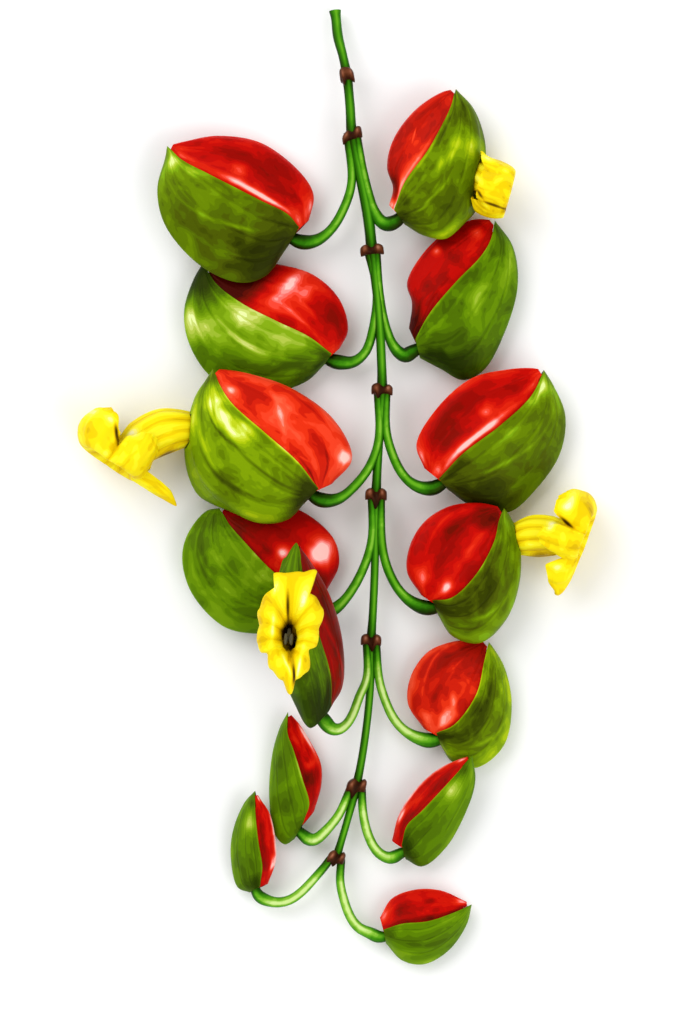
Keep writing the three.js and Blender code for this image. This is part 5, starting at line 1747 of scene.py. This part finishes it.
@dataclass
class Stem:
    """The stem with the fourteen flower stalks that leave it at its nodes."""

    shapes: Sequence[PodShape]
    root_aside: float = 1.15  # where a stalk begins beside its node, in millimetres
    root_above: float = 0.2
    root_before: float = 0.8
    root_radius: float = 0.85  # and how much slimmer it is there
    neck: float = 1.93  # how far it goes into its pod
    neck_end: float = 0.33  # how much of that its route leaves out
    shoulder: float = 1.8  # how far before the pod it runs straight in
    # Steps back from the pod's foot, and the stalk's radius there as shares of its swollen end's
    swelling: tuple[tuple[float, float], ...] = ((0, 0.82), (1.3, 0.95), (2.6, 1), (5, 0.84))
    end_share: float = 0.7
    slim_from: float = 9.0
    slim: tuple[float, float] = (1.18, 0.98)  # its radius from there on, and at the stem
    bulge: float = 0.14  # how much fuller the stem is at a node
    bulge_reach: float = 2.6
    rings: int = 220
    sides: int = 28
    stalk_rings: int = 64
    stalk_sides: int = 18
    evened: int = 16  # how often the kinks of a stalk are evened out
    clearance: float = 0.02  # the least room under a stalk

    def __post_init__(self) -> None:
        """Lay the stem's line."""
        self.route = Line([at(px, z) for px, z in zip(STEM_ROUTE, STEM_HEIGHTS)])

    def nearest(self, place: Point) -> tuple[Floats, Floats]:
        """Find the stem's centre nearest to a place of the picture, and its direction there."""
        shares = np.linspace(0, 1, 1500)
        centres = self.route.by_share(shares)
        away = np.linalg.norm(centres[:, :2] - at(place)[:2], axis=1)
        found = shares[int(np.argmin(away))]
        return self.route.by_share(found)[0], self.route.ahead_by_share(found)[0]

    def from_nodes(self, centres: Floats) -> Floats:
        """Find how far places are from each node, nodes by places."""
        return np.stack([np.linalg.norm(centres - self.nearest(node.place)[0], axis=1) for node in NODES])

    def main(self) -> Tube:
        """Make the stem's tube, a little fuller at each node."""
        t = np.linspace(0, 1, self.rings)
        centres = self.route.by_share(t)
        fuller = self.bulge * hump(self.from_nodes(centres), 0, self.bulge_reach).sum(axis=0)
        return Tube(centres, self.route.ahead_by_share(t), eased(STEM_RADII, t) + fuller, self.sides, along=t)

    def stalk(self, shape: PodShape) -> Tube:
        """Make the tube of one flower stalk.

        Args:
            shape: The pod that it bears.

        Returns:
            The tube, from beside its node to inside its pod.
        """
        pod = shape.pod
        centre, ahead = self.nearest(NODES[pod.number].place)
        foot, way_in = shape.foot()
        start = centre - ahead * self.root_before
        start = start + np.array([pod.side * self.root_aside, 0, self.root_above])
        shares = np.arange(1, len(pod.stalk) + 1) / (len(pod.stalk) + 1)
        heights = mixed(start[2], foot[2], smoothstep(shares, 0, 1))
        middle = [at(px, z) for px, z in zip(pod.stalk, heights)]
        end = foot + way_in * (self.neck - self.neck_end)
        route = Line([start, *middle, foot - way_in * self.shoulder, end])
        u = np.linspace(0, 1, self.stalk_rings)
        radii = self.radii(pod, (1 - u) * route.length, route.length)
        radii = radii * mixed(self.root_radius, 1, smoothstep(u, 0, 0.06))
        centres, loose = route.by_length(u), smoothstep(u, 0, 0.1)[1:-1, None]
        for _ in range(self.evened):
            evener = (centres[:-2] + 2 * centres[1:-1] + centres[2:]) / 4
            centres[1:-1] = mixed(centres[1:-1], evener, loose)
        centres[:, 2] = np.maximum(centres[:, 2], radii + self.clearance)
        return Tube(centres, unit(np.gradient(centres, axis=0)), radii, self.stalk_sides, along=u)

    def radii(self, pod: Pod, left: Floats, length: float) -> Floats:
        """Find a stalk's radius at its rings.

        Args:
            pod: The pod that it bears.
            left: How far each ring is from the end inside the pod.
            length: The stalk's length.

        Returns:
            The radii, evened out over five rings.
        """
        ends = [0, *(self.neck + step for step, _ in self.swelling), self.neck + self.slim_from, length]
        shares = (self.end_share, *(share for _, share in self.swelling))
        sizes = [*(share * pod.swollen for share in shares), *self.slim]
        return np.convolve(np.pad(np.interp(left, ends, sizes), 2, "edge"), np.ones(5) / 5, "valid")

    def stem_tone(self, tube: Tube, aside: Floats, stripe: Floats) -> Floats:
        """Paint light and shade onto the stem: a painted highlight along it, painted shade on its sides, and
        more painted shade next to the nodes' collars.
        """
        near = hump(np.min(self.from_nodes(tube.centres), axis=0), 0, 4)
        tone = 0.22 * stripe - 0.4 * np.clip(aside, 0, 1) ** 2 - 0.15 * np.clip(-aside, 0, 1) ** 3
        return tone - 0.25 * np.repeat(near, tube.sides)

    def stalk_tone(self, pod: Pod, along: Floats, aside: Floats, stripe: Floats) -> Floats:
        """Paint light and shade onto a stalk: a painted highlight along it, painted shade on its sides and
        where it meets the stem and its pod, and lighter altogether towards the stem's end.
        """
        lit = 0.34 if pod.number > 4 else 0.06
        tone = 0.3 * stripe - 0.3 * np.abs(aside) ** 3 + lit * smoothstep(along, 0.1, 0.3)
        return tone - 0.45 * smoothstep(along, 0.7, 0.97) - 0.3 * (1 - smoothstep(along, 0, 0.2))

    def build(self) -> Object:
        """Make the stem and its stalks as one mesh.

        Returns:
            The object.
        """
        points, faces, lays, tones = [], [], [], []
        count = 0
        for i, tube in enumerate([self.main(), *map(self.stalk, self.shapes)]):
            part, part_faces, lay = tube.parts(count)
            aside = np.cos(lay[:, 1] * 2 * np.pi)
            # the painted highlight, a little to one side of each tube's top
            stripe = hump(aside, -0.2, 0.28)
            if i:
                tones.append(self.stalk_tone(self.shapes[i - 1].pod, lay[:, 0], aside, stripe))
            else:
                tones.append(self.stem_tone(tube, aside, stripe))
            points.append(part)
            faces += part_faces
            lays.append(np.hstack([lay, np.full((len(lay), 1), float(i))]))
            count += len(part)
        skin = Skin(np.concatenate(lays), np.concatenate(tones), np.zeros(count))
        return mesh_object("stem_and_stalks", np.concatenate(points), faces, skin)


@dataclass
class Collar:
    """The brown collar at a node: two lobes with a groove between them, and a point that hangs down."""

    node: Node
    number: int
    stem: Stem
    depth: float = 2.7
    groove_width: float = 0.26  # as a share of the collar's half width
    groove_depth: float = 0.3  # as a share of its depth
    tip_width: float = 0.22  # as a share of its half width
    columns: int = 56
    rows: int = 31

    def build(self) -> Object:
        """Make the collar's mesh.

        Returns:
            The object.
        """
        node = self.node
        centre, ahead = self.stem.nearest(node.place)
        leftward = unit(np.cross(ahead, [0.0, 0.0, 1.0]))
        over = np.cross(leftward, ahead)
        turns, falls = ball(self.columns, self.rows)
        x, y, z = np.sin(falls) * np.cos(turns), np.cos(falls), np.sin(falls) * np.sin(turns)
        level = y / np.sqrt(y**2 + z**2 + 0.04)  # from -1 at the crown to 1 at the foot
        away = -x + node.lean * level
        groove = node.cleft * hump(away, 0, self.groove_width)
        crown = 1.05 - 0.42 * groove - 0.5 * np.abs(x) ** 3 - node.slope * x
        foot = 0.5 + 0.3 * x**2 + 0.6 * node.slope * x + node.tip * hump(x, -node.tip_at, self.tip_width)
        down = mixed(-crown, foot, (level + 1) / 2) * node.height
        wide = node.width * powered(x, 0.85)
        deep = self.depth * powered(z, 0.6) * (1 - self.groove_depth * groove)
        grid = centre + np.stack([wide, down, deep], -1) @ np.stack([leftward, ahead, over])
        # painted highlights on the two lobes, painted shade in the groove between them, and darker towards
        # the foot
        lobe = hump(np.abs(away), 0.5, 0.2) * hump(level, -0.3, 0.45)
        tone = np.clip(z, 0, 1) ** 0.3 * (0.4 * lobe - 0.4 * groove - 0.2 * smoothstep(level, 0.1, 0.9))
        lay = np.stack([falls / np.pi, turns / (2 * np.pi), np.full_like(turns, float(self.number))], -1)
        faces = quads(wrapped(np.arange(turns.size).reshape(turns.shape)))
        skin = Skin(lay.reshape(-1, 3), tone.ravel(), np.zeros(tone.size))
        return mesh_object(f"node_collar_{self.number}", grid.reshape(-1, 3), faces.tolist(), skin)


@dataclass
class Studio:
    """The pale floor, the soft lights and the camera over the spray, in metres."""

    distance: float = 2.4  # how high the camera is
    middle_height: float = 0.007  # the height at which the picture's scale holds
    floor_half: float = 1.5
    floor_drop: float = 0.0004  # how far the floor is under the spray
    floor_grey: float = 0.97
    lamp: float = 2.2
    sky: float = 0.66
    sensor: float = 36.0

    def material(self) -> Material:
        """Make the floor's plain pale material."""
        material = bpy.data.materials.new("pale floor")
        material.use_nodes = True
        w = Wiring(material.node_tree)
        inputs = {"Base Color": (*[self.floor_grey] * 3, 1), "Roughness": 0.9}
        shader = w.node("ShaderNodeBsdfPrincipled", inputs)
        w.node("ShaderNodeOutputMaterial", {"Surface": shader.outputs[0]})
        return material

    def put(self, name: str, data: bpy.types.ID) -> Object:
        """Put an object into the scene."""
        obj = bpy.data.objects.new(name, data)
        bpy.context.scene.collection.objects.link(obj)
        return obj

    def floor(self) -> None:
        """Lay the floor just under the spray."""
        mesh = bpy.data.meshes.new("floor")
        ways = ((-1, -1), (1, -1), (1, 1), (-1, 1))
        corners = [(x * self.floor_half, y * self.floor_half, -self.floor_drop) for x, y in ways]
        mesh.from_pydata(corners, [], [(0, 1, 2, 3)])
        mesh.materials.append(self.material())
        self.put("floor", mesh)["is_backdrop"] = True

    def light(self, name: str, place: Sequence[float], watts: float) -> None:
        """Hang one soft square light that shines at the spray."""
        data = bpy.data.lights.new(name, "AREA")
        data.shape, data.size, data.energy = "SQUARE", self.lamp, watts
        obj = self.put(name, data)
        obj.location = place
        obj.rotation_euler = (-Vector(place)).to_track_quat("-Z", "Y").to_euler()

    def camera(self) -> None:
        """Set the camera straight over the picture's middle, with the lens that gives the picture's frame."""
        data = bpy.data.cameras.new("camera")
        middle = at((PICTURE_WIDE / 2, PICTURE_HIGH / 2)) * MM
        data.sensor_width = self.sensor
        data.lens = self.sensor * (self.distance - self.middle_height) / (PICTURE_HIGH * SCALE * MM)
        data.clip_start, data.clip_end = 0.1, 20.0
        obj = self.put("camera", data)
        obj.location = (middle[0], middle[1], self.distance)
        bpy.context.scene.camera = obj

    def build(self) -> None:
        """Set up the whole studio."""
        self.floor()
        self.light("key", (-1.3, 1.2, 1.6), 37.0)
        self.light("fill", (1.5, -1.1, 1.5), 27.0)
        world = bpy.data.worlds.new("studio")
        world.use_nodes = True
        background = world.node_tree.nodes["Background"].inputs
        background["Color"].default_value = (1, 1, 1, 1)
        background["Strength"].default_value = self.sky
        bpy.context.scene.world = world
        bpy.context.scene.view_settings.view_transform = "Standard"
        self.camera()


@dataclass
class Spray:
    """The whole spray: builds each piece, dresses it and lets it stand for its solid."""

    shared: Shared
    materials: dict[str, Material] = field(default_factory=dict)

    def finished(self, obj: Object, finish: Finish, node: str) -> None:
        """Dress a piece and put it in the frame.

        Args:
            obj: The piece.
            finish: Its finish.
            node: The solid that it stands for.
        """
        if finish.name not in self.materials:
            self.materials[finish.name] = finish.material(self.shared)
        obj.data.materials.clear()
        obj.data.materials.append(self.materials[finish.name])
        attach(obj, "root")
        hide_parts(node)
        LOG.info("%s stands for %s: %d faces", obj.name, node, len(obj.data.polygons))

    def opened(self, obj: Object, corolla: Corolla) -> None:
        """Cut the opening for a flower's tube through a bract."""
        cutter = corolla.cutter()
        cut = obj.modifiers.new("opening", "BOOLEAN")
        cut.operation, cut.object, cut.solver = "DIFFERENCE", cutter, "EXACT"
        applied(obj)
        bpy.data.objects.remove(cutter)
        obj.data.set_sharp_from_angle(angle=CREASE)

    def build(self) -> None:
        """Build every piece of the spray."""
        shapes = [PodShape(pod) for pod in PODS]
        corollas = {flower.pod: Corolla(flower) for flower in FLOWERS}
        stem = Stem(shapes)
        self.finished(stem.build(), STEM_SKIN, "stem")
        for i, node in enumerate(NODES, start=1):
            self.finished(Collar(node, i, stem).build(), NODE_SKIN, f"node_scale_{i}")
        for shape in shapes:
            name = shape.pod.name
            look = next(look for look in LOOKS if name in look.pods)
            green = Bract(shape, Side.GREEN, look.green).build()
            if name in corollas:
                self.opened(green, corollas[name])
            self.finished(green, look.green.finish, f"green_bract_{name}")
            red = Bract(shape, Side.RED, look.red, pillow=0.02, pillows=1.5).build()
            self.finished(red, look.red.finish, f"red_bract_{name}")
        for name, corolla in corollas.items():
            self.finished(corolla.build(), YELLOW_SKIN, f"corolla_{name}")
        self.finished(Anthers(corollas["left_5"]).build(), ANTHER_SKIN, "anthers_left_5")


def corners() -> list[list[float]]:
    """Measure the shown object's box as plain lists."""
    return [[float(value) for value in corner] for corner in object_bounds()]


def main() -> None:
    """Build the spray and its studio."""
    logging.basicConfig(level=logging.INFO, format="%(message)s")
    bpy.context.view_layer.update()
    Studio().build()
    Spray(Shared(VEINS.build(), MOTTLE.build(), GRAIN.build(), PATCHES.build())).build()


if __name__ == "__main__":
    main()
